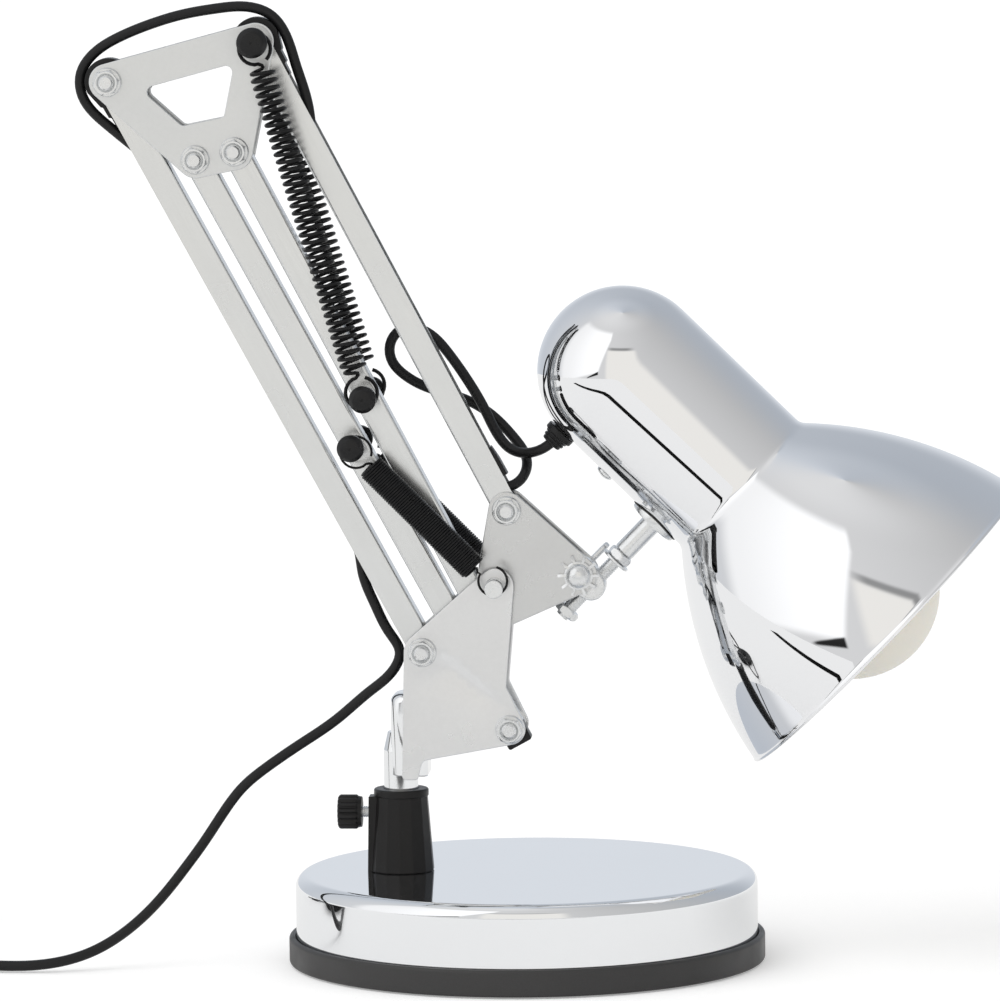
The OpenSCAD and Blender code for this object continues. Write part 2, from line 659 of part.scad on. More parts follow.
// Springs: one unbroken wire each, straight at the ends, square to the pins that they hook on
curl_rings = 8;
wire_sides = 6;
function grow(a, n) = let (t = min(a, n - a)) t < 1 ? sin(90 * t) : 1;
function spring_points(p, q, n, y) =
    let (axis = unit(q - p), side = [axis[1], -axis[0]],
        lead = pin_d / 2 + fit_gap, run = lead + 2 * spring_wire, r = (spring_od - spring_wire) / 2,
        pitch = (norm(q - p) - 2 * run) / n)
    concat([xyz(p + lead * axis, y)],
        [for (i = [0 : n * curl_rings]) let (a = i / curl_rings, g = r * grow(a, n))
            xyz(p + (run + pitch * a) * axis + g * cos(360 * a) * side, y + g * sin(360 * a))],
        [xyz(q - lead * axis, y)]);
// Least gap between one curl and the next, measured from point to point
function curl_gap(p) = min([for (i = [curl_rings : len(p) - curl_rings - 2])
    min([for (k = [-1 : 1]) norm(p[i] - p[i + curl_rings + k])])]) - spring_wire;
module spring_pair(p, q, n) both_sides()
    tube(spring_points(p, q, n, spring_y), spring_wire / 2, wire_sides, xyz(unit(q - p), 0.001));
module lower_springs() color("#1c1c1e") spring_pair(low_pin, stub_p, low_curls);
module upper_springs() color("#1c1c1e") spring_pair(knee_top, up_pin, up_curls);
echo(lower_spring_gap = curl_gap(spring_points(low_pin, stub_p, low_curls, spring_y)));
echo(upper_spring_gap = curl_gap(spring_points(knee_top, up_pin, up_curls, spring_y)));

// Knee

// Point where two lines meet, each given by two pivots and moved in by d
function inward(a, b) = unit([b[1] - a[1], a[0] - b[0]]);
function meet(a, b, d, c, e, f) =
    let (n = inward(a, b), m = inward(c, e), u = n * a + d, v = m * c + f, k = n[0] * m[1] - n[1] * m[0])
    [(u * m[1] - v * n[1]) / k, (n[0] * v - m[0] * u) / k];
cut_r = 1.4;
cut_corners = [meet(knee_low, knee_rear, rail_side + cut_r, knee_rear, knee_top, rail_top + cut_r),
    meet(knee_rear, knee_top, rail_top + cut_r, knee_top, knee_high, rail_side + cut_r),
    meet(knee_top, knee_high, rail_side + cut_r, knee_high, knee_low, rail_foot + cut_r),
    meet(knee_high, knee_low, rail_foot + cut_r, knee_low, knee_rear, rail_side + cut_r)];
knee_pivots = [knee_rear, knee_low, knee_high, knee_top];
module knee_plate(y) difference() {
    upright([for (p = knee_pivots) concat(p, lobe_r)], y, plate_t);
    upright([for (p = cut_corners) concat(p, cut_r)], y - cut, plate_t + 2 * cut);
    holes(knee_pivots, bolt_d + 2 * fit_gap, y);
}
module knee_plate_front() color("whitesmoke") knee_plate(-knee_out);
module knee_plate_rear() color("whitesmoke") knee_plate(knee_in);
// Three bolts with nuts, and the axle that carries the upper springs
module knee_fasteners() color("lightgray") {
    for (p = [knee_rear, knee_low, knee_high]) {
        bolt(p, knee_out);
        mirror([0, 1, 0]) nut(p, knee_out);
    }
    cross_rod(knee_top, bolt_d, -knob_y, knob_y);
    both_sides() difference() {
        cross_rod(knee_top, sleeve_d, knee_out, spring_y - spring_wire);
        cross_rod(knee_top, bolt_d + 2 * fit_gap, 0, spring_y);
    }
}
module knee_knobs() color("#1a1a1b") spring_knobs(knee_top, axle_knob_d);

// Main upper bar: a channel with its open side to the front, towards the head
module upper_bar() color("gainsboro") on_bar(head_top, up_lean) channel_bar(up_len, 1);
module upper_hood() color("#1a1a1b") on_bar(head_top, up_lean) hood(up_len, 1);
module upper_cord() color("#151516") on_bar(head_top, up_lean) cord_run(up_cord_from, up_len - up_cord_to, 1);

// Upper link: a square tube with the pin of the upper springs
module upper_link() color("gainsboro") on_bar(head_low, up_lean) tube_bar(up_len, up_pin_at);
module upper_link_caps() color("#1a1a1b") on_bar(head_low, up_lean) tube_caps(up_len);
module upper_spring_pin() color("lightgray") spring_pin(up_pin);
module upper_spring_knobs() color("#1a1a1b") spring_knobs(up_pin, pin_knob_d);

// Head bracket and tilt joint

module head_plate(y) difference() {
    upright([concat(head_top, lobe_r), concat(head_low, front_lobe_r), concat(tilt, lobe_r)], y, plate_t);
    holes([head_top, head_low], bolt_d + 2 * fit_gap, y);
    holes([tilt], bolt_d + 2 * run_gap, y);
}
module head_plate_front() color("gainsboro") head_plate(-knee_out);
module head_plate_rear() color("gainsboro") head_plate(knee_in);
// Bolt and nut at the main bar, and a low rivet at the link
module head_fasteners() color("lightgray") {
    bolt(head_top, knee_out);
    mirror([0, 1, 0]) nut(head_top, knee_out);
    cross_rod(head_low, bolt_d, -knee_out, knee_out);
    both_sides() cross_rod(head_low, rivet_d, knee_out, knee_out + rivet_h);
}
// Frame of the head: origin at its neck, z towards the mouth, x towards the stem's foot
module on_head() {
    translate(xyz(neck, 0)) rotate([0, 90 + head_dip, 0]) children();
}
// Drilling square to the head's axis, on the stem's side, for a piece of diameter d
module side_hole(back, d) {
    translate([0, 0, -back]) rotate([0, 90, 0]) cylinder(d = d + 2 * fit_gap, h = 2 * shade_r);
}
// Frame of the stem: origin beside the tilt pivot, z up the stem
module on_stem() {
    translate(xyz(stem_foot, 0)) rotate([0, head_dip, 0]) children();
}
// Block between the head plates, bored for the tilt bolt and across for the stem's stud
knuckle_r = 6.2;
knuckle_reach = 5;
module knuckle_block() color("silver") difference() {
    upright([concat(tilt, knuckle_r), concat(stem_foot, knuckle_reach)], -block_w / 2, block_w);
    cross_rod(tilt, bolt_d + 2 * fit_gap, -block_w, block_w);
    on_stem() cylinder(d = stud_d + 2 * run_gap, h = 4 * block_w, center = true);
}
tilt_cap_h = 4;
tilt_cap_r = 8;
wing_y = knee_out + clear;
wing_hub_d = 10;
wing_hub_h = 6;
wing_reach = 13;
wing_t = 2;
wing_tip_r = 3.4;
star_d = 10;
star_teeth = 10;
star_t = 1.4;
tooth_w = 1.4;
tooth_l = 1.7;
tilt_cap_d = 10;
tilt_tail = 2;
module tilt_bolt() color("lightgray") {
    cross_rod(tilt, bolt_d, -knee_out - clear - star_t, wing_y + wing_hub_h + tilt_tail);
    translate(xyz(tilt, -knee_out - clear - star_t)) rotate([90, 0, 0]) rotate_extrude() intersection() {
        translate([0, tilt_cap_h - tilt_cap_r]) circle(tilt_cap_r);
        square([tilt_cap_d / 2, tilt_cap_h]);
    }
}
// Toothed washer under the bolt's domed head
module star_washer() color("silver") translate(xyz(tilt, -knee_out - clear)) rotate([90, 0, 0]) difference() {
    union() {
        cylinder(d = star_d, h = star_t);
        for (i = [1 : star_teeth]) rotate(360 * i / star_teeth)
            translate([0, -tooth_w / 2, 0]) cube([star_d / 2 + tooth_l, tooth_w, star_t]);
    }
    translate([0, 0, -cut]) cylinder(d = bolt_d + 2 * fit_gap, h = star_t + 2 * cut);
}
// Wing nut at the rear, with its wings across the head's axis
module wing_nut() color("silver") translate(xyz(tilt, wing_y)) rotate([-90, 0, 0]) difference() {
    union() {
        cylinder(d = wing_hub_d, h = wing_hub_h);
        for (s = [0, 180]) rotate(s - head_dip) translate([0, wing_t / 2, 0]) rotate([90, 0, 0])
            slab([[wing_tip_r, wing_hub_h / 2, wing_hub_h / 2],
                [wing_reach - wing_tip_r, wing_hub_h, wing_tip_r],
                [wing_reach - 2 * wing_tip_r, wing_hub_h / 2, wing_hub_h / 4]], wing_t);
    }
    translate([0, 0, -cut]) cylinder(d = bolt_d + 2 * run_gap, h = 3 * wing_hub_h);
}

// Head

// Stem: a stud in the knuckle block, with a collar, and the rod that carries the shade
module head_stem() color("lightgray") on_stem() {
    translate([0, 0, -stud_tail]) cylinder(d = stud_d, h = stud_tail + collar_at);
    translate([0, 0, collar_at]) cylinder(d = stem_d, h = stem_l - shade_r - collar_at - saddle_t);
    translate([0, 0, collar_at]) cylinder(d = stud_d, h = stem_l - holder_d / 2 - 2 * fit_gap - collar_at);
}
// Nut on the stud's tail, saddle washer at the shade, and the screw of the lampholder's strap
module shade_fasteners() color("lightgray") {
    on_stem() {
        translate([0, 0, -stud_tail + cut]) difference() {
            cylinder(d = nut_af / cos(30), h = stem_nut_h, $fn = 6);
            translate([0, 0, -cut]) cylinder(d = stud_d + 2 * fit_gap, h = stem_nut_h + 2 * cut);
        }
        translate([0, 0, collar_at - stem_nut_h - clear]) difference() {
            cylinder(d = nut_af / cos(30), h = stem_nut_h, $fn = 6);
            translate([0, 0, -cut]) cylinder(d = stud_d + 2 * fit_gap, h = stem_nut_h + 2 * cut);
        }
    }
    on_head() difference() {
        translate([0, 0, -stem_back]) rotate([0, 90, 0])
            cylinder(d = saddle_d, h = shade_r + saddle_t);
        translate([0, 0, -shade_back]) cylinder(r = shade_r + fit_gap, h = shade_back + bell_l);
        side_hole(stem_back, stud_d);
    }
    on_head() translate([0, 0, -shade_screw_back]) rotate([0, 90, 0]) {
        translate([0, 0, holder_d / 2 + fit_gap]) cylinder(d = shade_screw_d, h = shade_r - holder_d / 2);
        translate([0, 0, shade_r + fit_gap]) cylinder(d = shade_screw_head_d, h = shade_screw_d / 2);
    }
}
// Spun shade: dome, cylinder and bell from one sheet
module shade_solid(t) {
    intersection() {
        translate([0, dome_at]) circle(shade_r - t);
        translate([0, -shade_back]) square([shade_r, shade_r]);
    }
    translate([0, dome_at]) square([shade_r - t, neck_lap - dome_at]);
    intersection() {
        translate(bell_mid) circle(bell_r - t);
        translate([0, -neck_lap]) square([rim_r, bell_l + neck_lap]);
    }
}
module lamp_shade() color("silver") on_head() difference() {
    rotate(180) rotate_extrude() difference() {
        shade_solid(0);
        shade_solid(shade_wall);
    }
    side_hole(stem_back, stud_d);
    side_hole(shade_screw_back, shade_screw_d);
    side_hole(grommet_back, grommet_neck_d);
}
// Lampholder: a plastic sleeve round a threaded shell
module lampholder() color("#efeeea") on_head() difference() {
    translate([0, 0, holder_front - holder_l]) cylinder(d = holder_d, h = holder_l);
    translate([0, 0, cap_back - cut]) cylinder(d = cap_d + 2 * shell_t + 2 * run_gap, h = holder_l);
    translate([0, 0, holder_front - holder_l - cut]) cylinder(d = cord_d, h = holder_l);
}
// Strap between the lampholder and the shade's wall
module holder_strap() color("gray") on_head() difference() {
    intersection() {
        translate([0, -strap_w / 2, -stem_back - strap_l]) cube([shade_r, strap_w, strap_l + strap_w / 2]);
        translate([0, 0, -shade_back]) cylinder(r = shade_r - shade_wall - fit_gap, h = shade_back);
    }
    translate([0, 0, -shade_back]) cylinder(d = holder_d + 2 * fit_gap, h = shade_back);
    side_hole(stem_back, stud_d);
    side_hole(shade_screw_back, shade_screw_d);
}
// Threaded brass shell of the lampholder, closed at its back by the centre contact
module holder_contact() color("goldenrod") on_head() difference() {
    translate([0, 0, cap_back - cut + fit_gap]) cylinder(d = cap_d + 2 * shell_t, h = cap_l - cut);
    translate([0, 0, cap_back]) cylinder(d = cap_d + 2 * run_gap, h = cap_l + cut);
}
// Frosted bulb on a screw cap: a globe with a tapered neck, hollow and open at the cap
module bulb_glass() color("ivory") on_head() rotate_extrude() difference() {
    bulb_outline(0);
    bulb_outline(glass_t);
}
glass_t = 1;
bulb_mid = glass_top - bulb_d / 2;
bulb_wrap = 38;
neck_rim = 3;
module bulb_outline(t) {
    intersection() {
        translate([0, bulb_mid]) circle(bulb_d / 2 - t);
        translate([0, bulb_mid - bulb_d]) square([bulb_d, 2 * bulb_d]);
    }
    polygon([[0, cap_front], [cap_d / 2 - t, cap_front], [cap_d / 2 - t, cap_front + neck_rim],
        [(bulb_d / 2 - t) * cos(bulb_wrap), bulb_mid - (bulb_d / 2 - t) * sin(bulb_wrap)], [0, bulb_mid]]);
}
module bulb_cap() color("silver") on_head() translate([0, 0, cap_back + fit_gap])
    cylinder(d = cap_d, h = cap_l - 2 * fit_gap);
// Strain relief: a flange against the dome and a tapered neck round the cord
module cord_grommet() color("#19191a") on_head() translate([0, 0, -grommet_back]) rotate([0, 90, 0])
difference() {
    union() {
        translate([0, 0, shade_r - grommet_in_l]) cylinder(d = grommet_neck_d, h = grommet_in_l + cut);
        translate([0, 0, shade_r + clear]) cylinder(d = grommet_d, h = grommet_t);
        translate([0, 0, shade_r + grommet_t])
            cylinder(d1 = grommet_taper_d, d2 = grommet_neck_d, h = grommet_l - grommet_t);
    }
    translate([0, 0, shade_r - grommet_in_l - cut])
        cylinder(d = cord_d + 2 * fit_gap, h = grommet_l + grommet_in_l + 2 * cut);
}

// Cords
tube_sides = 8;
grommet_exit = neck - grommet_back * head_axis - (shade_r + grommet_l) * stem_dir;
grommet_in = grommet_exit + grommet_l * stem_dir;
upper_top = head_top + (up_len - up_cord_to) * up(up_lean) + cord_side(1, up_lean);
upper_low = head_top + up_cord_from * up(up_lean) + cord_side(1, up_lean);
lower_top = base_rear + (low_len - low_cord_to) * up(low_lean) + cord_side(-1, low_lean);
module head_cord() color("#151516") tube(concat([xyz(grommet_in, 0), xyz(grommet_exit, 0)], head_route,
    [xyz(upper_low - up(up_lean) * cord_d, 0), xyz(upper_low, 0)]), cord_r, tube_sides, [0.2, 1, 0.1]);
module knee_cord() color("#151516") tube(concat([xyz(upper_top, 0), xyz(upper_top + up(up_lean) * cord_d, 0)],
    knee_route, [xyz(lower_top + up(low_lean) * cord_d, 0), xyz(lower_top, 0)]),
    cord_r, tube_sides, [0, 1, 0]);
module supply_cord() color("#151516") tube(concat([supply_start, supply_start - cord_d * xyz(up(low_lean), 0)],
    supply_route, lying_route, [coil_first + [fit_gap, 0, 0]]), cord_r, tube_sides, [0, 1, 0.15]);

// Coil: in along the table, up one layer, and out again on top
module cord_coil() color("#151516")
    tube(concat([coil_first], coil_points, [coil_last]), cord_r, wire_sides, [0, 0, 1]);
// Leads from the coil to the switch and from the switch to the plug
module plug_lead() color("#151516") {
    tube(concat([coil_last + [0, fit_gap, 0]], switch_route), cord_r, tube_sides, [0, 0, 1]);
    tube(plug_route, cord_r, tube_sides, [0, 0, 1]);
}
// Flat two-pin plug, narrower at its nose, with a tapered strain relief
module plug_body() color("#19191a") translate([plug_p[0], plug_p[1], 0]) {
    slab([for (s = [-1, 1]) [s * (plug_w / 2 - plug_round), -plug_l / 2 + plug_round, plug_round],
        for (s = [1, -1])
            [s * (plug_nose_w / 2 - plug_round), plug_l / 2 - plug_round, plug_round]], plug_t);
    translate([0, plug_l / 2 - cut, plug_t / 2]) rotate([-90, 0, 0])
        cylinder(d1 = boot_d, d2 = boot_end_d, h = boot_l + cut);
}
module plug_pins() color("silver") for (s = [-1, 1])
    translate([plug_p[0] + s * plug_pitch / 2, plug_p[1] - plug_l / 2, plug_t / 2]) rotate([90, 0, 0])
        cylinder(d = plug_pin_d, h = plug_pin_l);
// In-line switch with a well for its rocker
module switch_body() color("#19191a") translate([switch_mid[0], switch_mid[1], 0]) difference() {
    slab([for (s = [-1, 1], t = [-s, s])
        [t * (switch_w / 2 - switch_nose), s * (switch_l / 2 - switch_nose), switch_nose]], switch_h);
    translate([-rocker_w / 2 - clear, -rocker_l / 2 - clear, switch_h - well_depth])
        cube([rocker_w + 2 * clear, rocker_l + 2 * clear, well_depth + cut]);
    translate([0, 0, rocker_z]) rotate([0, 90, 0])
        cylinder(d = rocker_pin_d + 2 * run_gap, h = rocker_w + 2 * rocker_pin_in, center = true);
}
// Rocker on its own pin, resting on one end of its travel
module switch_rocker() color("#19191a") translate([switch_mid[0], switch_mid[1], rocker_z])
    rotate([rocker_lean, 0, 0]) {
        translate([-rocker_w / 2, 0, 0]) rotate([90, 0, 90]) {
            cylinder(r = rocker_r, h = rocker_w);
            slab([[-rocker_l / 2 + rocker_tip_r, rocker_rise, rocker_tip_r], [0, 0, rocker_tip_r],
                [rocker_l / 2 - rocker_tip_r, rocker_rise, rocker_tip_r]], rocker_w);
        }
        rotate([0, 90, 0])
            cylinder(d = rocker_pin_d, h = rocker_w + 2 * (rocker_pin_in - clear), center = true);
    }

base_shell();
base_ring();
ballast();
foot_pad();
post_socket();
socket_screw();
thumb_screw();
post_tube();
post_block();
base_bracket_front();
base_bracket_rear();
base_fasteners();
spring_stubs();
lower_bar();
lower_hood();
lower_cord();
lower_link();
lower_link_caps();
lower_spring_pin();
lower_spring_knobs();
lower_springs();
knee_plate_front();
knee_plate_rear();
knee_fasteners();
knee_knobs();
knee_cord();
upper_springs();
upper_bar();
upper_hood();
upper_cord();
upper_link();
upper_link_caps();
upper_spring_pin();
upper_spring_knobs();
head_plate_front();
head_plate_rear();
head_fasteners();
knuckle_block();
tilt_bolt();
star_washer();
wing_nut();
head_stem();
shade_fasteners();
lamp_shade();
lampholder();
holder_strap();
holder_contact();
bulb_glass();
bulb_cap();
cord_grommet();
head_cord();
supply_cord();
cord_coil();
plug_lead();
plug_body();
plug_pins();
switch_body();
switch_rocker();
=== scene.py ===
"""Desk lamp with spring-balanced arms: its looks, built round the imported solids. Lengths in millimetres."""
import json

import bmesh
import bpy
import numpy as np
from mathutils import Matrix, Vector


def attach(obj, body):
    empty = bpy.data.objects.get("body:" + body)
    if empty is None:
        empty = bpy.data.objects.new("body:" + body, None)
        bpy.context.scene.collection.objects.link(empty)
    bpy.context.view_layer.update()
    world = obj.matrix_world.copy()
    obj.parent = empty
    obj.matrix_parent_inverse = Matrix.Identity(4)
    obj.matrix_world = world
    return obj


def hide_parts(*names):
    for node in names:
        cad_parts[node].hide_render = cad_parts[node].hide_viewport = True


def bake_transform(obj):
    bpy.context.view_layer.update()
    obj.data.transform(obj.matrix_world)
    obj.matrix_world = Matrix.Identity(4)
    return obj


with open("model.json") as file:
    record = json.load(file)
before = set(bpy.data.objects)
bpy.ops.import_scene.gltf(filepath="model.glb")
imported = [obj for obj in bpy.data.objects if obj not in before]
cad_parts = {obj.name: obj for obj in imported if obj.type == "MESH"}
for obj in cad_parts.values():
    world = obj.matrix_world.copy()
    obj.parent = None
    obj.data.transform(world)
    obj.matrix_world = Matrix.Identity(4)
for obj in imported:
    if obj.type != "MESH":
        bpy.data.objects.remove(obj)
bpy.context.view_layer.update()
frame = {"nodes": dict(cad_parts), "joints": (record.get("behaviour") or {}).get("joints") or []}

# Base drum: one deep-drawn steel cup, polished and chromed, turned over the iron ballast.
# Its top edge is rolled, and its open end stands in the foot ring.
MM = 0.001
drum_r = 80.5
drum_top = 31
drum_foot = 2
drum_edge = 4.5
drum_wall = 1
drum_lip = 0.3
weld_gap = 2e-6
sharp_turn = 35


def unit(way):
    """A direction, or rows of directions, brought to length one."""
    return way / np.linalg.norm(way, axis=-1, keepdims=True)


def rounded(corners, steps=6, hold=0.3):
    """Line through corners (a, b, radius). A corner with a radius becomes an arc that touches its two runs.
    A point is held just before and after each arc, so that flat runs stay flat when shaded smooth."""
    corner = np.array(corners, float)
    place, radius = corner[:, :2], corner[:, 2]
    t = np.linspace(0, 1, steps + 1)[:, None]
    line = []
    for i in range(len(corner)):
        if radius[i] == 0:
            line.append(place[i:i + 1])
            continue
        back = unit(place[i - 1] - place[i])
        ahead = unit(place[(i + 1) % len(corner)] - place[i])
        half = np.arccos(np.clip(back @ ahead, -1, 1)) / 2
        centre = place[i] + unit(back + ahead) * radius[i] / np.sin(half)
        start = place[i] + back * radius[i] / np.tan(half) - centre
        end = place[i] + ahead * radius[i] / np.tan(half) - centre
        sweep = np.pi - 2 * half
        arc = centre + (np.sin((1 - t) * sweep) * start + np.sin(t * sweep) * end) / np.sin(sweep)
        line.append(np.vstack([arc[:1] + hold * back, arc, arc[-1:] + hold * ahead]))
    return np.vstack(line)


def square_to(axis):
    """The unit axis, and two unit directions square to it and to each other."""
    axis = unit(np.array(axis, float))
    side = np.array([0.0, 1.0, 0.0]) if abs(axis[0]) > 0.3 else np.array([1.0, 0.0, 0.0])
    side = unit(side - (side @ axis) * axis)
    return axis, side, np.cross(axis, side)


def angles(sides, spin=0):
    """Evenly spaced angles round an axis, in radians, from a spin in degrees."""
    return np.linspace(0, 2 * np.pi, sides, endpoint=False) + np.radians(spin)


def turned(radius, height, foot=(0, 0, 0), axis=(0, 0, 1), sides=96):
    """Rows turned about an axis: each lies at its height from the foot, with its radius out from the axis.
    Radius and height hold one value a row, or one for each row and each of the evenly spaced angles."""
    axis, side, other = square_to(axis)
    angle = angles(sides)[:, None]
    spoke = np.cos(angle) * side + np.sin(angle) * other
    radius = np.reshape(radius, (len(radius), -1)) * np.ones(sides)
    height = np.reshape(height, (len(height), -1)) * np.ones(sides)
    return np.array(foot, float) + height[..., None] * axis + radius[..., None] * spoke


def skin(grid, around=True, along=False):
    """Quads between neighbouring rows of points. Rows close on themselves where around is set, and the last
    row joins the first where along is set. Rims that stay open get a flat cap each."""
    rows, cols = grid.shape[:2]
    index = np.arange(rows * cols).reshape(rows, cols)
    caps = []
    if around:
        caps = [] if along else [index[0].tolist(), index[-1].tolist()]
        index = np.hstack([index, index[:, :1]])
    elif along:
        caps = [index[:, 0].tolist(), index[:, -1].tolist()]
    if along:
        index = np.vstack([index, index[:1]])
    quads = np.stack([index[:-1, :-1], index[:-1, 1:], index[1:, 1:], index[1:, :-1]], -1)
    return grid.reshape(-1, 3), quads.reshape(-1, 4).tolist() + caps


def lathe(line, foot=(0, 0, 0), axis=(0, 0, 1), sides=96, along=False):
    """Skin of a line of (radius, height) points turned about an axis. A ring's line closes on itself."""
    return skin(turned(line[:, 0], line[:, 1], foot, axis, sides), along=along)


def made(name, skins, material, body=None, nodes=(), sharp=sharp_turn):
    """One object at the origin from skins in millimetres. Doubles are merged, faces are turned outwards, and
    edges sharper than the given angle stay sharp. It rides on its body and stands for its nodes."""
    points, faces, count = [], [], 0
    for skin_points, skin_faces in skins:
        points.append(skin_points)
        faces += [[count + i for i in face] for face in skin_faces]
        count += len(skin_points)
    mesh = bpy.data.meshes.new(name)
    mesh.from_pydata((np.vstack(points) * MM).tolist(), [], faces)
    shell = bmesh.new()
    shell.from_mesh(mesh)
    bmesh.ops.remove_doubles(shell, verts=shell.verts, dist=weld_gap)
    bmesh.ops.recalc_face_normals(shell, faces=shell.faces)
    shell.to_mesh(mesh)
    shell.free()
    mesh.shade_smooth()
    mesh.set_sharp_from_angle(angle=np.radians(sharp))
    mesh.materials.append(material)
    thing = bpy.data.objects.new(name, mesh)
    bpy.context.scene.collection.objects.link(thing)
    if body:
        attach(thing, body)
    if nodes:
        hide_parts(*nodes)
    return thing


def surface(name, colour, metal, rough, grain=400, stretch=(1, 1, 1), lean=0, tone=0.04, patch=0.05,
            patch_grain=40, relief=0.004, shine=0.5, also=None):
    """Procedural material on Object coordinates. A fine noise, with so many grains a metre, stretched along a
    leaning axis, shades the colour by its tone and raises a relief in millimetres. A broad noise moves the
    roughness by its patch. What is the same all over is set on the shader's own sockets."""
    material = bpy.data.materials.new(name)
    material.use_nodes = True
    nodes, link = material.node_tree.nodes, material.node_tree.links.new

    def added(kind, sockets):
        """A new node, with values set on its sockets."""
        node = nodes.new(kind)
        for socket, value in sockets.items():
            node.inputs[socket].default_value = value
        return node

    place = nodes.new("ShaderNodeTexCoord").outputs["Object"]
    mapping = added("ShaderNodeMapping", {"Rotation": (0, np.radians(-lean), 0), "Scale": stretch})
    mapping.vector_type = "TEXTURE"
    fine = added("ShaderNodeTexNoise", {"Scale": grain, "Detail": 4})
    broad = added("ShaderNodeTexNoise", {"Scale": patch_grain, "Detail": 3})
    span = added("ShaderNodeMapRange", {"From Min": 0.3, "From Max": 0.7, "To Min": max(rough - patch, 0),
                                        "To Max": rough + patch})
    bump = added("ShaderNodeBump", {"Distance": relief * MM})
    shade = nodes.new("ShaderNodeMix")
    shade.data_type = "RGBA"
    for socket, share in (("A", 1 - tone), ("B", 1 + tone)):
        shade.inputs[socket].default_value = (*np.clip(np.array(colour) * share, 0, 1), 1)
    shader = nodes["Principled BSDF"].inputs
    shader["Metallic"].default_value = metal
    shader["Specular IOR Level"].default_value = shine
    for socket, value in (also or {}).items():
        shader[socket].default_value = value
    for source, target in ((place, mapping.inputs["Vector"]), (place, broad.inputs["Vector"]),
                           (mapping.outputs["Vector"], fine.inputs["Vector"]),
                           (fine.outputs["Fac"], shade.inputs["Factor"]),
                           (shade.outputs["Result"], shader["Base Color"]),
                           (broad.outputs["Fac"], span.inputs["Value"]),
                           (span.outputs["Result"], shader["Roughness"]),
                           (fine.outputs["Fac"], bump.inputs["Height"]),
                           (bump.outputs["Normal"], shader["Normal"])):
        link(source, target)
    return material


chrome = surface("polished_chrome", (0.90, 0.91, 0.925), 1, 0.025, grain=26, tone=0.012, patch=0.014,
                 relief=0.012)
drum_in = drum_r - drum_wall
drum_roof = drum_top - drum_wall
drum_line = rounded([(0, drum_top, 0), (drum_r, drum_top, drum_edge), (drum_r, drum_foot, drum_lip),
                     (drum_in, drum_foot, drum_lip), (drum_in, drum_roof, drum_edge - drum_wall),
                     (0, drum_roof, 0)], steps=10)
made("chrome_drum", [lathe(drum_line, sides=256)], chrome, "base", ["base_shell"])

# Foot ring: an injection-moulded black channel that the drum's rim is pressed into.
# A small lip stands round the chrome, and the outer edge is rounded.
ring_r = 83
ring_h = 9.3
ring_floor = 2
ring_in = 73.52
ring_gap = 0.05
lip_w = 0.5
lip_h = 1.4
ring_black = surface("ring_black", (0.032, 0.031, 0.031), 0, 0.45, grain=2600, tone=0.25, patch=0.08,
                     patch_grain=60, relief=0.006, shine=0.45)
ring_line = rounded([(ring_in, 0, 0.4), (ring_r, 0, 0.9), (ring_r, ring_h, 1.1),
                     (drum_r + lip_w, ring_h, 0.5), (drum_r + ring_gap, ring_h - lip_h, 0.2),
                     (drum_r + ring_gap, ring_floor, 0.2), (ring_in, ring_floor, 0.4)])
made("foot_ring", [lathe(ring_line, sides=256, along=True)], ring_black, "base", ["base_ring"])

# Pad and ballast: a soft disc with grip rings under the base, and the cast iron disc inside it.
# The pad is glued into the ring, and the ballast lies on the ring's ledge.
pad_r = 73.4
pad_t = 2
grip_start = 6
grip_margin = 3
grip_count = 9
grip_depth = 0.5
grip_rows = 16 * grip_count + 1


def dressed(node, material):
    """Puts a finish on a solid that is shown as it is."""
    materials = frame["nodes"][node].data.materials
    materials.clear()
    materials.append(material)


pad_rubber = surface("pad_rubber", (0.03, 0.03, 0.031), 0, 0.75, grain=1800, tone=0.3, relief=0.02)
grip_r = np.linspace(grip_start, pad_r - grip_margin, grip_rows)
grip_z = grip_depth * (0.5 - 0.5 * np.cos(np.linspace(0, 2 * np.pi * grip_count, grip_rows))) ** 2
pad_line = np.vstack([
    [[0, 0]], np.column_stack([grip_r, grip_z]),
    rounded([(grip_r[-1], 0, 0), (pad_r, 0, 0.4), (pad_r, pad_t, 0.4), (0, pad_t, 0)])[1:]])
made("grip_pad", [lathe(pad_line, sides=128)], pad_rubber, "base", ["foot_pad"])
cast_iron = surface("cast_iron", (0.16, 0.16, 0.165), 0.8, 0.65, grain=900, tone=0.3, relief=0.08)
dressed("ballast", cast_iron)

# Post socket: a tapered black moulding with faint flats, a round rim and a rib for the thumb screw.
# It is screwed on from inside the drum.
joint = {j["name"]: np.array(j["pos_m"]) / MM for j in frame["joints"]}
post_x = joint["column_turn"][0]
socket_foot_r = 11.35
socket_top_r = 9.1
socket_h = 29
socket_seat = 8
socket_bore = 6.1
socket_flats = 14
socket_break = 0.4
socket_sides = 224
rim_h = 2.6
rim_proud = 0.45
rim_step = 0.2
rib_reach = 11.7
rib_half = 4
rib_top = 27
rib_draft = 0.02


def flats(angle, count):
    """Radius of a regular polygon with so many sides at an angle, as a share of its inner circle's."""
    step = 2 * np.pi / count
    return 1 / np.cos((angle + step / 2) % step - step / 2)


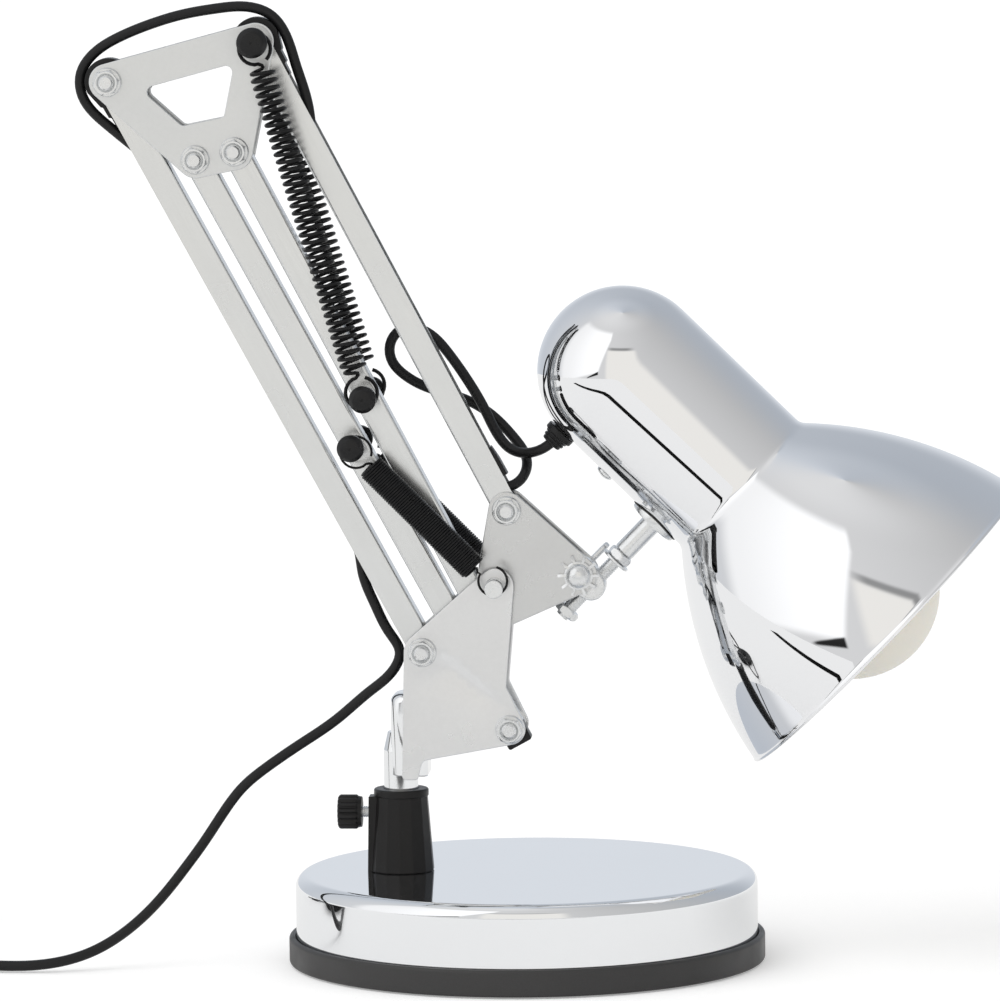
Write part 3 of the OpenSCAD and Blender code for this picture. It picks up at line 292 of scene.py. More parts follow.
def socket_grid():
    """Rows of the socket: its bore, its rim, then the tapered wall. The wall's radius is the larger of a
    faceted taper's and the rib's, which is a box seen from the axis."""
    angle = angles(socket_sides)
    rib = np.minimum(rib_reach / np.maximum(-np.cos(angle), 1e-3),
                     rib_half / np.maximum(np.abs(np.sin(angle)), 1e-3))
    rib = np.where(np.cos(angle) < 0, rib, 0)
    rim_r = socket_top_r + rim_proud
    rim_low = socket_h - rim_h
    bore = rounded([(0, socket_seat, 0), (socket_bore, socket_seat, 0.4), (socket_bore, socket_h, 0.5),
                    (rim_r, socket_h, 0.7), (rim_r, rim_low, 0.4),
                    (socket_top_r, rim_low - rim_step, 0)], steps=4)
    wall_h = np.concatenate([[rim_low - rim_step, rib_top - 0.6, rib_top - 0.8], np.linspace(24, 1, 8),
                             [socket_break, 0]])
    wall_r = socket_foot_r + (socket_top_r - socket_foot_r) * wall_h / socket_h
    wall_r[-1] -= socket_break
    wall = wall_r[:, None] * np.cos(np.pi / socket_flats) * flats(angle, socket_flats)
    ribbed = np.maximum(wall, rib - rib_draft * wall_h[:, None])
    wall = np.where((wall_h < rib_top - 0.7)[:, None], ribbed, wall)
    radius = np.vstack([bore[:, :1] * np.ones(socket_sides), wall, np.zeros((1, socket_sides))])
    height = np.concatenate([bore[:, 1], wall_h, [0]])
    return turned(radius, height, (post_x, 0, drum_top), sides=socket_sides)


black_moulding = surface("black_moulding", (0.010, 0.0095, 0.0095), 0, 0.36, grain=2600, tone=0.25,
                         patch=0.08, patch_grain=60, relief=0.006, shine=0.26)
made("post_holder", [skin(socket_grid())], black_moulding, "base", ["post_socket"], sharp=28)
zinc = surface("zinc_plate", (0.80, 0.81, 0.815), 1, 0.27, grain=1500, tone=0.06, patch=0.07, patch_grain=220)
dressed("socket_screw", zinc)

# Thumb screw: a black knob with moulded grooves on a threaded steel shank.
# The shank runs through the rib and bears on the post.
thumb_gap = 2
thumb_foot = joint["thumb_turn"] + [-rib_reach - thumb_gap, 0, 0]
thumb_r = 6
thumb_l = 8.4
thumb_grooves = 16
groove_depth = 0.7
shank_r = 2
shank_pitch = 0.7
shank_ends = (4 - rib_reach, 1)


def thumb_grid():
    """Rows of the knob: a plain collar, a rim whose radius dips once for each groove, and a dished end."""
    sides = 12 * thumb_grooves
    dip = groove_depth * (0.5 + 0.5 * np.cos(thumb_grooves * angles(sides))) ** 1.5
    line = np.array([(0, 0), (4.2, 0), (thumb_r - 0.7, 0.1), (thumb_r - 0.5, 1.2), (thumb_r - 0.4, 1.5),
                     (thumb_r, 1.9), (thumb_r, thumb_l - 0.9), (thumb_r - 0.25, thumb_l - 0.35),
                     (thumb_r - 0.8, thumb_l), (4.1, thumb_l), (3.6, thumb_l - 0.5), (0, thumb_l - 0.6)])
    share = np.array([0, 0, 0, 0, 0.8, 1, 1, 1, 0.9, 0, 0, 0])
    return turned(line[:, :1] - share[:, None] * dip, line[:, 1], thumb_foot, (-1, 0, 0), sides)


def threaded(radius, start, end, pitch, depth=0.25):
    """Profile of a thread, taken as rings: the radius falls and rises once in each pitch."""
    height = np.arange(start, end + 0.01, pitch / 4)
    wave = depth * np.array([0, 1, 1, 0])[np.arange(len(height)) % 4]
    line = np.column_stack([radius - wave, height])
    return np.vstack([[[0, start]], line, [[radius - depth, end + 0.02], [0, end + 0.02]]])


made("thumb_knob", [skin(thumb_grid())], black_moulding, "thumb_screw", ["thumb_screw"])
shank_line = threaded(shank_r, *shank_ends, shank_pitch)
made("thumb_shank", [lathe(shank_line, thumb_foot, (-1, 0, 0), 48)], zinc, "thumb_screw", ["thumb_screw"])

# Post: a chromed tube that turns in the socket, and the block that is welded over its top.
# The block has a round back and carries the two base plates.
post_r = 6
post_wall = 1.5
post_neck = 1.5
post_low = 39.05
post_top = 80
post_shoulder = 73.5
neck_bend_r = 3
block_left = -46.6
block_right = -33.5
block_half = 8.18
block_low = 65
block_top = 94
block_low_r = 0.6
block_top_r = 3.2
block_back_r = 5.2
block_front_r = 1.2
tube_chrome = surface("tube_chrome", (0.88, 0.89, 0.90), 1, 0.05, grain=900, stretch=(1, 1, 30), tone=0.03,
                      patch=0.03, relief=0.002)
post_line = rounded([(post_r, post_low, 0.4), (post_r, post_shoulder, neck_bend_r),
                     (post_r - post_neck, post_top, 0.4), (post_r - post_neck - post_wall, post_top, 0.4),
                     (post_r - post_wall, post_shoulder, neck_bend_r),
                     (post_r - post_wall, post_low, 0.4)], steps=4)
made("chrome_post", [lathe(post_line, (post_x, 0, 0), along=True)], tube_chrome, "column", ["post_tube"])


def quarter(steps):
    """Angles of a quarter circle, in radians."""
    return np.radians(np.linspace(0, 90, steps))


def round_edges(low, low_r, top, top_r, steps=6):
    """Rows (drawn in, height) of an upright body's round lower and upper edges, on quarter circles."""
    t = quarter(steps)
    lower = np.column_stack([low_r * (1 - np.sin(t)), low + low_r * (1 - np.cos(t))])
    upper = np.column_stack([top_r * (1 - np.cos(t)), top - top_r * (1 - np.sin(t))])
    return lower, upper


def block_grid():
    """Rows of the block: a rounded box outline, drawn in on a quarter circle at its foot and at its top."""
    outline = rounded([(block_left, block_half, block_back_r), (block_left, -block_half, block_back_r),
                       (block_right, -block_half, block_front_r),
                       (block_right, block_half, block_front_r)], steps=10)
    middle = outline.mean(0)
    lower, upper = round_edges(block_low, block_low_r, block_top, block_top_r, 7)
    drawn, height = np.vstack([[(4, block_low)], lower, upper, [(6, block_top)]]).T
    half = np.array([block_right - block_left, 2 * block_half]) / 2
    flat = middle + (outline - middle)[None] * (1 - drawn[:, None] / half)[:, None, :]
    return np.dstack([flat, height[:, None] * np.ones(len(outline))])


made("post_head", [skin(block_grid())], tube_chrome, "column", ["post_block"])

# Base plates: two pressed sheets with satin faces, bolted on either side of the arms and welded to the block.
# Each has a tab down the post, a corner for the spring stubs and a notch over its front pivot.
base_rear = joint["lower_fold"][[0, 2]]
base_front = joint["lower_link_turn"][[0, 2]]
plate_t = 1.2
base_in = 8.2
base_out = base_in + plate_t
lobe_r = 6.4
front_lobe_r = 5.4
tab_r = 1.5
tab_left = -42.4
tab_w = 5.8
tab_z = 64
tab_step = 6.5
stub_p = base_rear + [25.6, 22.8]
notch_p = base_rear + [22.4, -13.2]
base_corners = [(*stub_p, lobe_r), (*base_rear, lobe_r), (tab_left + tab_r, tab_z + tab_r, tab_r),
                (tab_left + tab_w - tab_r, tab_z + tab_r, tab_r),
                (tab_left + tab_w, tab_z + tab_step + tab_r, tab_r), (*base_front, front_lobe_r),
                (*notch_p, lobe_r)]
press_foot = -19
press_rise = 20
press_reach = 30
press_depth = 2.4
boss_r = 5.5
boss_bank = 3
ridge_start = np.array([4.6, 1.0])
ridge_end = np.array([23.6, -14.7])
ridge_half = 1.2


def lobed(circles, fillet=2.5, step=6):
    """Outline round circles (x, z, r), taken anticlockwise: an arc of each circle, joined by outer tangents.
    Where the line turns inwards, the two tangents meet in a fillet instead."""
    circle = np.array(circles, float)
    ahead = np.roll(circle, -1, 0) - circle
    span = np.hypot(ahead[:, 0], ahead[:, 1])
    normal = np.arctan2(ahead[:, 1], ahead[:, 0]) - np.arccos(-ahead[:, 2] / span)
    line = []
    for (x, z, r), enter, leave in zip(circle, np.roll(normal, 1), normal):
        turn = (leave - enter) % (2 * np.pi)
        centre = np.array([x, z])
        if turn > 1.25 * np.pi:
            turn -= 2 * np.pi
            both = np.array([np.cos(enter) + np.cos(leave), np.sin(enter) + np.sin(leave)])
            centre = centre + (r + fillet) * both / (1 + np.cos(turn))
            r = -fillet
        angle = enter + turn * np.linspace(0, 1, int(abs(turn) / np.radians(step)) + 2)
        line.append(centre + r * np.column_stack([np.cos(angle), np.sin(angle)]))
    return np.vstack(line)


def outward(outline):
    """Unit normals of a closed anticlockwise outline, one for each of its points."""
    run = unit(np.roll(outline, -1, 0) - np.roll(outline, 1, 0))
    return np.column_stack([run[:, 1], -run[:, 0]])


def sheet(outline, near, far, edge=0.25, hold=0.4):
    """Rows of a flat sheet between two depths. The outline is drawn in along its own normals, on a quarter
    circle at each face, and once more to hold the face flat."""
    t = quarter(4)
    drawn = np.concatenate([[edge + hold], edge * (1 - np.sin(t))])
    depth = np.concatenate([[0], abs(edge) * (1 - np.cos(t))])
    drawn = np.concatenate([drawn, drawn[::-1]])
    y = np.concatenate([near + depth, far - depth[::-1]])
    flat = outline[None] - drawn[:, None, None] * outward(outline)
    return np.dstack([flat[..., 0], y[:, None] * np.ones(len(outline)), flat[..., 1]])


def across(place, y=0):
    """Point of the arms' plane at a depth across the lamp."""
    return np.array([place[0], y, place[1]])


def satin(name, colour, rough):
    """Satin face of a pressed sheet: bright steel with a fine, even grain."""
    return surface(name, colour, 1, rough, grain=700, tone=0.03, patch_grain=60)


def pressed(plate, inwards):
    """Presses a shallow panel into a base plate, cut into a lattice first so that it can bend. The panel
    deepens away from the plate's rear edge and from its own foot, a short bank leads up to the ridge, and a
    boss round the pivot stays flat."""
    ridge_way = unit(ridge_end - ridge_start)
    downhill = np.array([ridge_way[1], -ridge_way[0]])
    cuts = [((x, 0), (1, 0)) for x in range(-6, 25, 3)]
    cuts += [((0, z), (0, 1)) for z in range(press_foot, 5, 3)]
    cuts += [(ridge_start + d * downhill, downhill) for d in np.linspace(-ridge_half, ridge_half, 4)]
    shell = bmesh.new()
    shell.from_mesh(plate.data)
    for place, way in cuts:
        bmesh.ops.bisect_plane(shell, geom=shell.verts[:] + shell.edges[:] + shell.faces[:],
                               plane_co=across(base_rear + place) * MM, plane_no=across(way))
    bmesh.ops.triangulate(shell, faces=shell.faces)
    shell.to_mesh(plate.data)
    shell.free()
    points = np.empty(3 * len(plate.data.vertices))
    plate.data.vertices.foreach_get("co", points)
    points = points.reshape(-1, 3)
    flat = points[:, [0, 2]] / MM - base_rear
    bank = np.clip(((flat - ridge_start) @ downhill + ridge_half) / (2 * ridge_half), 0, 1)
    boss = np.clip((np.linalg.norm(flat, axis=1) - boss_r) / boss_bank, 0, 1)
    rise = np.clip((flat[:, 1] - press_foot) / press_rise, 0, 1)
    reach = np.clip((flat[:, 0] + lobe_r) / press_reach, 0, 1)
    points[:, 1] += inwards * press_depth * rise * reach * bank * boss * MM
    plate.data.vertices.foreach_set("co", points.ravel())
    plate.data.update()
    plate.data.set_sharp_from_angle(angle=np.radians(sharp_turn))


plate_satin = satin("plate_satin", (0.80, 0.805, 0.81), 0.30)
base_line = lobed(base_corners)
for near, far, inwards, name, node in (
        (-base_out, -base_in, 1, "base_plate_front", "base_bracket_front"),
        (base_in, base_out, -1, "base_plate_rear", "base_bracket_rear")):
    plate = made(name, [skin(sheet(base_line, near, far))], plate_satin, "column", [node])
    pressed(plate, inwards)

# Pivot hardware at the base: flanged hexagon nuts and bolts in zinc, with spacing sleeves beside the bars,
# and the headed stubs that the lower springs hook on.
nut_af = 8
nut_chamfer = 0.12
chamfer_slope = 1.1
nut_flange_r = 5.1
nut_flange_t = 1.2
nut_h = 3.4
hex_sides = 72
bolt_r = 2.5
bolt_end = 1
bolt_gap = 0.02
head_h = 3.2
sleeve_r = 4.5
sleeve_gap = 0.05
bar_half = 4.5
spring_y = 14.7
knob_y = 16.2
spring_wire = 1.5
stub_r = 3.5
stub_sunk = 0.2
stub_neck_r = 1.7
stub_head_r = 3.2
stub_head_t = 1


def hexagon(drop, spin):
    """Radius of a nut's flanks, by how far each row lies below its end: the smaller of a hexagon's and a
    chamfer cone's."""
    half = nut_af / 2
    cone = half - nut_chamfer + chamfer_slope * drop[:, None]
    return np.minimum(half * flats(angles(hex_sides, spin), 6), cone)


def hexed(place, face, out, height, bolt=True, spin=0):
    """Skin of a flanged nut, or of a bolt's head, on a face at a depth, pointing out along -Y or +Y.
    A nut has a countersink and the bolt's end in it."""
    top = nut_flange_t + height
    drop = np.array([height, 1.0, 0.75, 0.5, 0.25, 0])
    skirt = np.array([(0, 0), (nut_flange_r, 0), (nut_flange_r, 0.4), (nut_flange_r - 0.2, 0.7),
                      (nut_af / 2 + 0.7, nut_flange_t)])
    end = top + bolt_end
    crown = np.array([(3.3, top), (bolt_r + 0.1, top - 0.7), (bolt_r, top - 0.7), (bolt_r, end - 0.5),
                      (bolt_r - 0.5, end), (0, end)])
    if not bolt:
        crown = np.array([(2.9, top), (2.4, top - 0.35), (0, top - 0.4)])
    circle = np.ones(hex_sides)
    radius = np.vstack([skirt[:, :1] * circle, hexagon(drop, spin), crown[:, :1] * circle])
    rows = np.concatenate([skirt[:, 1], top - drop, crown[:, 1]])
    return skin(turned(radius, rows, across(place, face), (0, out, 0), hex_sides))


def collar(place, radius, near, far, bore=0):
    """Skin of a round sleeve across the lamp with broken edges, hollow where it has a bore."""
    line = rounded([(bore, near, 0.02), (radius, near, 0.25), (radius, far, 0.25), (bore, far, 0.02)],
                   steps=3, hold=0.05)
    return lathe(line, across(place), (0, 1, 0), 64, along=bore > 0)


def pivot(place, face, spin):
    """Skins of a bolt through two plates: its nut in front, its head behind and its plain shank between."""
    return [hexed(place, -face, -1, nut_h, spin=spin), hexed(place, face, 1, head_h, False, -spin),
            collar(place, bolt_r - bolt_gap, -face, face)]


base_bolts = pivot(base_rear, base_out, 10) + pivot(base_front, base_out, 40)
for place in (base_rear, base_front):
    for side in (-1, 1):
        near, far = sorted([side * (bar_half + sleeve_gap), side * base_in])
        base_bolts.append(collar(place, sleeve_r, near, far, bolt_r))
made("base_bolts", base_bolts, zinc, "column", ["base_fasteners"], sharp=25)
hook_y = spring_y - spring_wire
stub_line = rounded([(0, base_out - stub_sunk, 0), (stub_r, base_out - stub_sunk, 0.1), (stub_r, hook_y, 0.3),
                     (stub_neck_r, hook_y, 0.1), (stub_neck_r, knob_y, 0.1), (stub_head_r, knob_y, 0.3),
                     (stub_head_r, knob_y + stub_head_t, 0.4), (0, knob_y + stub_head_t, 0)], 4, 0.05)
stubs = [lathe(stub_line, across(stub_p), (0, side, 0), 48) for side in (-1, 1)]
made("hook_stubs", stubs, zinc, "column", ["spring_stubs"])

# Bars: the two main bars are folded channels that take the cord, and the two links are square tubes.
# All are bright steel with a grain along them, and end in round cheeks at their pivots.
bar_wall = 0.9
bar_corner = 1.0
bar_in_corner = 0.3
bar_grain_lean = 28
cheek_points = 19
low_len = 225.4
low_lean = 28.4
up_len = 184
up_lean = 27.6
knee_rear = joint["knee_turn"][[0, 2]]
knee_top = joint["upper_fold"][[0, 2]]
knee_high = joint["upper_link_turn"][[0, 2]]
knee_low = base_front + knee_rear - base_rear
head_top = joint["bracket_turn"][[0, 2]]
head_low = head_top + knee_high - knee_top
main_low, link_low = (base_rear, low_lean, low_len), (base_front, low_lean, low_len)
main_up, link_up = (head_top, up_lean, up_len), (head_low, up_lean, up_len)


def on_bar(points, foot, lean):
    """Points of a bar's own frame, x to its right and z up along it, moved to its foot and its lean."""
    c, s = np.cos(np.radians(lean)), np.sin(np.radians(lean))
    x, y, z = points[..., 0], points[..., 1], points[..., 2]
    return np.stack([foot[0] + c * x - s * z, y, foot[1] + s * x + c * z], -1)


def bar_section(half, corner, reach):
    """Line round half a bar's section: a cheek whose points are spread like those of a half circle, then a
    round corner, and the wall's edge. Reach is where the cheek starts."""
    low = -half + corner
    cheek = (reach + low) / 2 + (reach - low) / 2 * np.cos(np.linspace(0, np.pi, cheek_points))
    t = quarter(5)[1:]
    x = np.concatenate([cheek, low - corner * np.sin(t), [-half]])
    y = np.concatenate([np.full(cheek_points, -half), low - corner * np.cos(t), [low + 0.3]])
    return np.column_stack([x, y])


def mirrored(line):
    """A half section, closed by its own mirror image in depth."""
    return np.vstack([line, (line * [1, -1])[::-1]])


def bar_grid(length, open_side):
    """Rows of a bar: outer and inner section at its foot and at its top. Cheeks run on past the pivots as
    half circles, and walls end there. A channel is open on one side, and a tube, with side 0, is closed."""
    in_half = bar_half - bar_wall
    outer = mirrored(bar_section(bar_half, bar_corner, bar_half))
    inner = mirrored(bar_section(in_half, bar_in_corner, bar_half))
    if open_side == 0:
        outer = mirrored(bar_section(bar_half, bar_corner, bar_half - bar_corner))
        inner = mirrored(bar_section(in_half, bar_in_corner, in_half - bar_in_corner))
        far_side = len(outer) // 2 - 5
        outer = np.vstack([outer, -outer[far_side:-far_side]])
        inner = np.vstack([inner, -inner[far_side:-far_side]])
    rows = []
    for line, end in ((outer, -1), (outer, 1), (inner, 1), (inner, -1)):
        on_cheek = np.abs(line[:, 1]) > in_half - 0.01
        past = np.where(on_cheek, np.sqrt(np.maximum(bar_half ** 2 - line[:, 0] ** 2, 0)), 0)
        z = length + past if end > 0 else -past
        rows.append(np.column_stack([line[:, 0] * (open_side or 1), line[:, 1], z]))
    return np.array(rows)


def bar(name, foot, lean, length, open_side, body, node):
    """One bar, riding on its body."""
    skins = [skin(on_bar(bar_grid(length, open_side), foot, lean), around=open_side == 0, along=True)]
    return made(name, skins, bar_steel, body, [node], sharp=40)


bar_steel = surface("bar_steel", (0.755, 0.765, 0.765), 1, 0.24, grain=2600, stretch=(1, 1, 60),
                    lean=bar_grain_lean, tone=0.05, patch_grain=45, relief=0.0025)
bar("main_bar_lower", *main_low, -1, "lower_arm", "lower_bar")
bar("link_lower", *link_low, 0, "lower_link", "lower_link")
bar("main_bar_upper", *main_up, 1, "upper_arm", "upper_bar")
bar("link_upper", *link_up, 0, "upper_link", "upper_link")

# Hoods and plugs: black mouldings that close the ends of the bars.
# A hood caps the top of each channel, with a stepped tail down its open side, and a liner closes the upper
# channel above its foot. Each tube has a plug at either end.
inset_y = bar_half - bar_wall - 0.04
hood_r = 8.2
hood_low = 0.1
hood_tail = [(-6.6, -6.5), (-6.0, -7.0), (-5.9, -11.0), (-5.1, -11.6), (-5.0, -15.4), (-3.9, -16.4),
             (-3.2, -12.0), (3.4, -9.5), (3.5, hood_low)]
liner_line = [(5.9, 11), (5.8, 17), (5.2, 22), (3.4, 22.5), (2.2, 20), (2.2, 11)]
end_plug_r = 4.45
end_plug_low = 0.05
end_plug_square = 7.0
end_plug_corner = 0.8
black_gloss = surface("black_gloss", (0.009, 0.009, 0.0095), 0, 0.33, grain=1800, tone=0.3, patch=0.1,
                      patch_grain=150, shine=0.28)


def half_disc(radius, low):
    """Points of the upper half of a disc, anticlockwise from its right edge, at a low height."""
    angle = np.radians(np.linspace(0, 180, 31))
    return np.column_stack([radius * np.cos(angle), np.maximum(radius * np.sin(angle), low)])


def filling(outline):
    """Rows of a moulding that fills the room between a bar's cheeks, from its outline."""
    return sheet(np.array(outline), -inset_y, inset_y, 0.3, 0.2)


def hood(name, foot, lean, length, side, body, node):
    """A hood: half a disc over the pivot, and a tail whose corners are listed from its outer edge inwards."""
    outline = np.vstack([half_disc(hood_r, hood_low), hood_tail])
    grids = [filling(outline) * [-side, 1, 1] + [0, 0, length]]
    if side > 0:
        grids.append(filling(liner_line))
    made(name, [skin(on_bar(grid, foot, lean)) for grid in grids], black_gloss, body, [node])


def plugs(name, foot, lean, length, low_square, body, node):
    """The two plugs of a tube: half discs between its cheeks, or a square end at the foot."""
    dome = half_disc(end_plug_r, end_plug_low)
    square = rounded([(end_plug_r, end_plug_low, 0), (end_plug_r, end_plug_square, end_plug_corner),
                      (-end_plug_r, end_plug_square, end_plug_corner), (-end_plug_r, end_plug_low, 0)])
    grids = [filling(dome) + [0, 0, length], filling(square if low_square else dome) * [1, 1, -1]]
    made(name, [skin(on_bar(grid, foot, lean)) for grid in grids], black_gloss, body, [node])


hood("hood_lower", *main_low, -1, "lower_arm", "lower_hood")
hood("hood_upper", *main_up, 1, "upper_arm", "upper_hood")
plugs("plugs_lower", *link_low, True, "lower_link", "lower_link_caps")
plugs("plugs_upper", *link_up, False, "upper_link", "upper_link_caps")

# Spring pins: a zinc pin through each link with a sleeve on either side, and a black knob on both its ends.
# The hooks of the springs lie between the sleeves and the knobs.
low_pin_at = 112.5
up_pin_at = 88
pin_r = 2.5
pin_sleeve_r = 3.5
pin_knob_r = 4.7
knob_l = 4.6
low_pin = on_bar(np.array([0, 0, low_pin_at]), base_front, low_lean)[[0, 2]]
up_pin = on_bar(np.array([0, 0, up_pin_at]), head_low, up_lean)[[0, 2]]


def pin_skins(place, radius, start):
    """Skins of a pin across the lamp and of its two sleeves, which start at a depth and end at the hooks."""
    sleeves = [collar(place, radius, *sorted([side * start, side * hook_y])) for side in (-1, 1)]
    return [collar(place, pin_r, -knob_y, knob_y)] + sleeves


def knob_skins(place, radius):
    """Skins of two knobs: a straight rim, a low dome on it, and a dimple at the middle."""
    line = np.vstack([rounded([(0, 0, 0), (radius, 0, 0.3), (radius, 2.6, 0.4), (radius - 1.3, 4.1, 1.6),
                               (1.4, knob_l, 2.5), (0.5, knob_l, 0)], 5, 0.05),
                      [[0.45, knob_l - 0.35], [0, knob_l - 0.4]]])
    return [lathe(line, across(place, side * knob_y), (0, side, 0), 64) for side in (-1, 1)]


for name, place, body, node in (("pin_lower", low_pin, "lower_link", "lower_spring_pin"),
                                ("pin_upper", up_pin, "upper_link", "upper_spring_pin")):
    made(name, pin_skins(place, pin_sleeve_r, bar_half), zinc, body, [node])
for name, place, body, node in (("knobs_lower", low_pin, "lower_link", "lower_spring_knobs"),
                                ("knobs_upper", up_pin, "upper_link", "upper_spring_knobs")):
    made(name, knob_skins(place, pin_knob_r), black_gloss, body, [node])

# Springs: blackened wire, close-wound below and drawn open above, one on each side of the arms.
# Both ends of a spring are bent into hooks: rings round the pins, and an open ring on the base plate's stub.
up_turns = 42
up_wire_r = 0.65
up_coil_r = 4.1
low_turns = 57
low_wire_r = 0.44
low_coil_r = 4.5
eye_r = 5.5
eye_shift = 2.2
eye_lead = 1.2
stub_eye_r = 5.0
stub_eye_shift = (-0.4, 2.7)
stub_lead = 4.5
stub_bend = 2.2
eye_step = 15
turn_points = 12
wire_step = 1.3
wire_sides = 8


def spline(points, step):
    """Natural cubic curve through points, with chord lengths as its parameter, sampled about every step."""
    knot = np.array(points, float)
    chord = np.linalg.norm(np.diff(knot, axis=0), axis=1)
    at = np.concatenate([[0], np.cumsum(chord)])
    slope = np.diff(knot, axis=0) / chord[:, None]
    matrix = np.eye(len(knot))
    inner = np.arange(1, len(knot) - 1)
    matrix[inner, inner - 1] = chord[:-1]
    matrix[inner, inner] = 2 * (chord[:-1] + chord[1:])
    matrix[inner, inner + 1] = chord[1:]
    bend = np.linalg.solve(matrix, np.vstack([[[0, 0, 0]], 6 * np.diff(slope, axis=0), [[0, 0, 0]]]))
    t = np.linspace(0, at[-1], int(at[-1] / step) + 1)
    k = np.clip(np.searchsorted(at, t, side="right") - 1, 0, len(chord) - 1)
    h = chord[k][:, None]
    a = at[k + 1][:, None] - t[:, None]
    b = t[:, None] - at[k][:, None]
    cubic = (bend[k] * a ** 3 + bend[k + 1] * b ** 3) / (6 * h)
    return cubic + (knot[k] / h - bend[k] * h / 6) * a + (knot[k + 1] / h - bend[k + 1] * h / 6) * b


def swept(path, radius, sides=12):
    """Round section carried along a path without twist: each ring's first spoke is the one before it, laid
    square to the path. The radius is one number, or one for each ring."""
    heading = unit(np.gradient(path, axis=0))
    spoke = square_to(heading[0])[1]
    spokes = []
    for way in heading:
        spoke = unit(spoke - (spoke @ way) * way)
        spokes.append(spoke)
    spokes = np.array(spokes)
    others = np.cross(heading, spokes)
    angle = angles(sides)[None, :, None]
    radius = (radius * np.ones(len(path)))[:, None, None]
    return path[:, None] + radius * (np.cos(angle) * spokes[:, None] + np.sin(angle) * others[:, None])


def eye(centre, radius, toward, start, end, y):
    """Points of a hook's ring in the arms' plane, by angle from the direction that it is pulled in."""
    angle = np.radians(np.arange(start, end + 0.1, eye_step))
    side = np.array([-toward[1], toward[0]])
    flat = centre + radius * (np.cos(angle)[:, None] * toward + np.sin(angle)[:, None] * side)
    return np.column_stack([flat[:, 0], np.full(len(flat), y), flat[:, 1]])


def helix(foot, toward, start, end, turns, radius, y):
    """Points of a coil round the line between two distances from its foot, its radius eased in and out."""
    a = np.linspace(0, turns, turns * turn_points + 1)
    ease = np.clip(np.minimum(a, turns - a) / 0.6, 0.25, 1)
    side = np.array([-toward[1], toward[0]])
    along = start + (end - start) * a / turns
    out = radius * ease * np.cos(2 * np.pi * a)
    flat = foot + along[:, None] * toward + out[:, None] * side
    return np.column_stack([flat[:, 0], y + radius * ease * np.sin(2 * np.pi * a), flat[:, 1]])


def spring_path(head, tail, turns, radius, y, hooked):
    """Control points of a spring: an eye round the head, the coil, then an eye round the tail, or a straight
    wire to an open ring on a stub there."""
    reach = np.linalg.norm(tail - head)
    toward = (tail - head) / reach
    first = eye_shift + eye_r + eye_lead
    last = reach - stub_eye_r - stub_lead if hooked else reach - first
    points = [eye(head + eye_shift * toward, eye_r, toward, 30, 360, y),
              helix(head, toward, first, last, turns, radius, y)]
    if hooked:
        points += [[across(head + (last + stub_bend) * toward, y)],
                   eye(tail + stub_eye_shift, stub_eye_r, np.array([1.0, 0.0]), 150, 435, y)]
    else:
        points.append(eye(tail - eye_shift * toward, eye_r, -toward, 0, 330, y))
    return np.vstack(points)


def spring_pair(name, head, tail, turns, radius, wire_r, hooked, node):
    """Two springs, in front of and behind the arms, as one piece of their wire's thickness."""
    skins = []
    for y in (-spring_y, spring_y):
        path = spline(spring_path(head, tail, turns, radius, y, hooked), wire_step)
        skins.append(skin(swept(path, wire_r, wire_sides)))
    return made(name, skins, spring_black, None, [node])


spring_black = surface("spring_black", (0.009, 0.009, 0.0095), 0.2, 0.33, grain=2500, tone=0.3, patch=0.08,
                       patch_grain=300, relief=0.003, shine=0.25)
springs = spring_pair("springs_lower", low_pin, stub_p, low_turns, low_coil_r, low_wire_r, True,
                      "lower_springs")
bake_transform(springs)
springs = spring_pair("springs_upper", knee_top, up_pin, up_turns, up_coil_r, up_wire_r, False,
                      "upper_springs")
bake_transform(springs)

# Knee: two satin plates with a window, four pivots and the axle of the upper springs.
# The axle carries a sleeve on either side and a black knob on each end.
knee_in = 4.8
knee_out = knee_in + plate_t
rail_top = 5.4
rail_side = 5.8
rail_foot = 12.3
window_r = 2.2
axle_knob_r = 5.3
knee_pivots = np.array([knee_rear, knee_low, knee_high, knee_top])


def inset(corners, depth):
    """Corners of a polygon whose sides have moved in, each by a depth: where neighbouring sides meet."""
    ahead = unit(np.roll(corners, -1, 0) - corners)
    normal = np.column_stack([-ahead[:, 1], ahead[:, 0]])
    reach = (normal * corners).sum(1) + depth
    pairs = np.stack([np.roll(normal, 1, 0), normal], 1)
    return np.linalg.solve(pairs, np.stack([np.roll(reach, 1), reach], 1)[..., None])[..., 0]


def by_angle(lines, middle, step=0.4):
    """Closed lines resampled at shared angles round a middle, so that they can be joined point by point."""
    polar = []
    for line in lines:
        loop = np.vstack([line, line[:1]])
        at = np.concatenate([[0], np.cumsum(np.linalg.norm(np.diff(loop, axis=0), axis=1))])
        t = np.linspace(0, at[-1], int(at[-1] / step), endpoint=False)
        dense = np.column_stack([np.interp(t, at, loop[:, 0]), np.interp(t, at, loop[:, 1])])
        polar.append((np.arctan2(*(dense - middle).T[::-1]), dense))
    shared = np.unique(np.round(np.concatenate([angle for angle, dense in polar]), 3))
    return [np.column_stack([np.interp(shared, angle, dense[:, k], period=2 * np.pi) for k in (0, 1)])
            for angle, dense in polar]


window = inset(knee_pivots, np.array([rail_side, rail_foot, rail_side, rail_top]))
knee_line = lobed([(*p, lobe_r) for p in knee_pivots])
window_line = rounded([(*p, window_r) for p in window])
knee_line, window_line = by_angle([knee_line, window_line], window.mean(0))


def knee_plate(name, near, far, node):
    """A plate with a window: the rows of its rim, then those of the window's edge, joined into a ring."""
    grid = np.vstack([sheet(knee_line, near, far), sheet(window_line, near, far, -0.25, -0.4)[::-1]])
    made(name, [skin(grid, along=True)], knee_satin, "knee", [node])


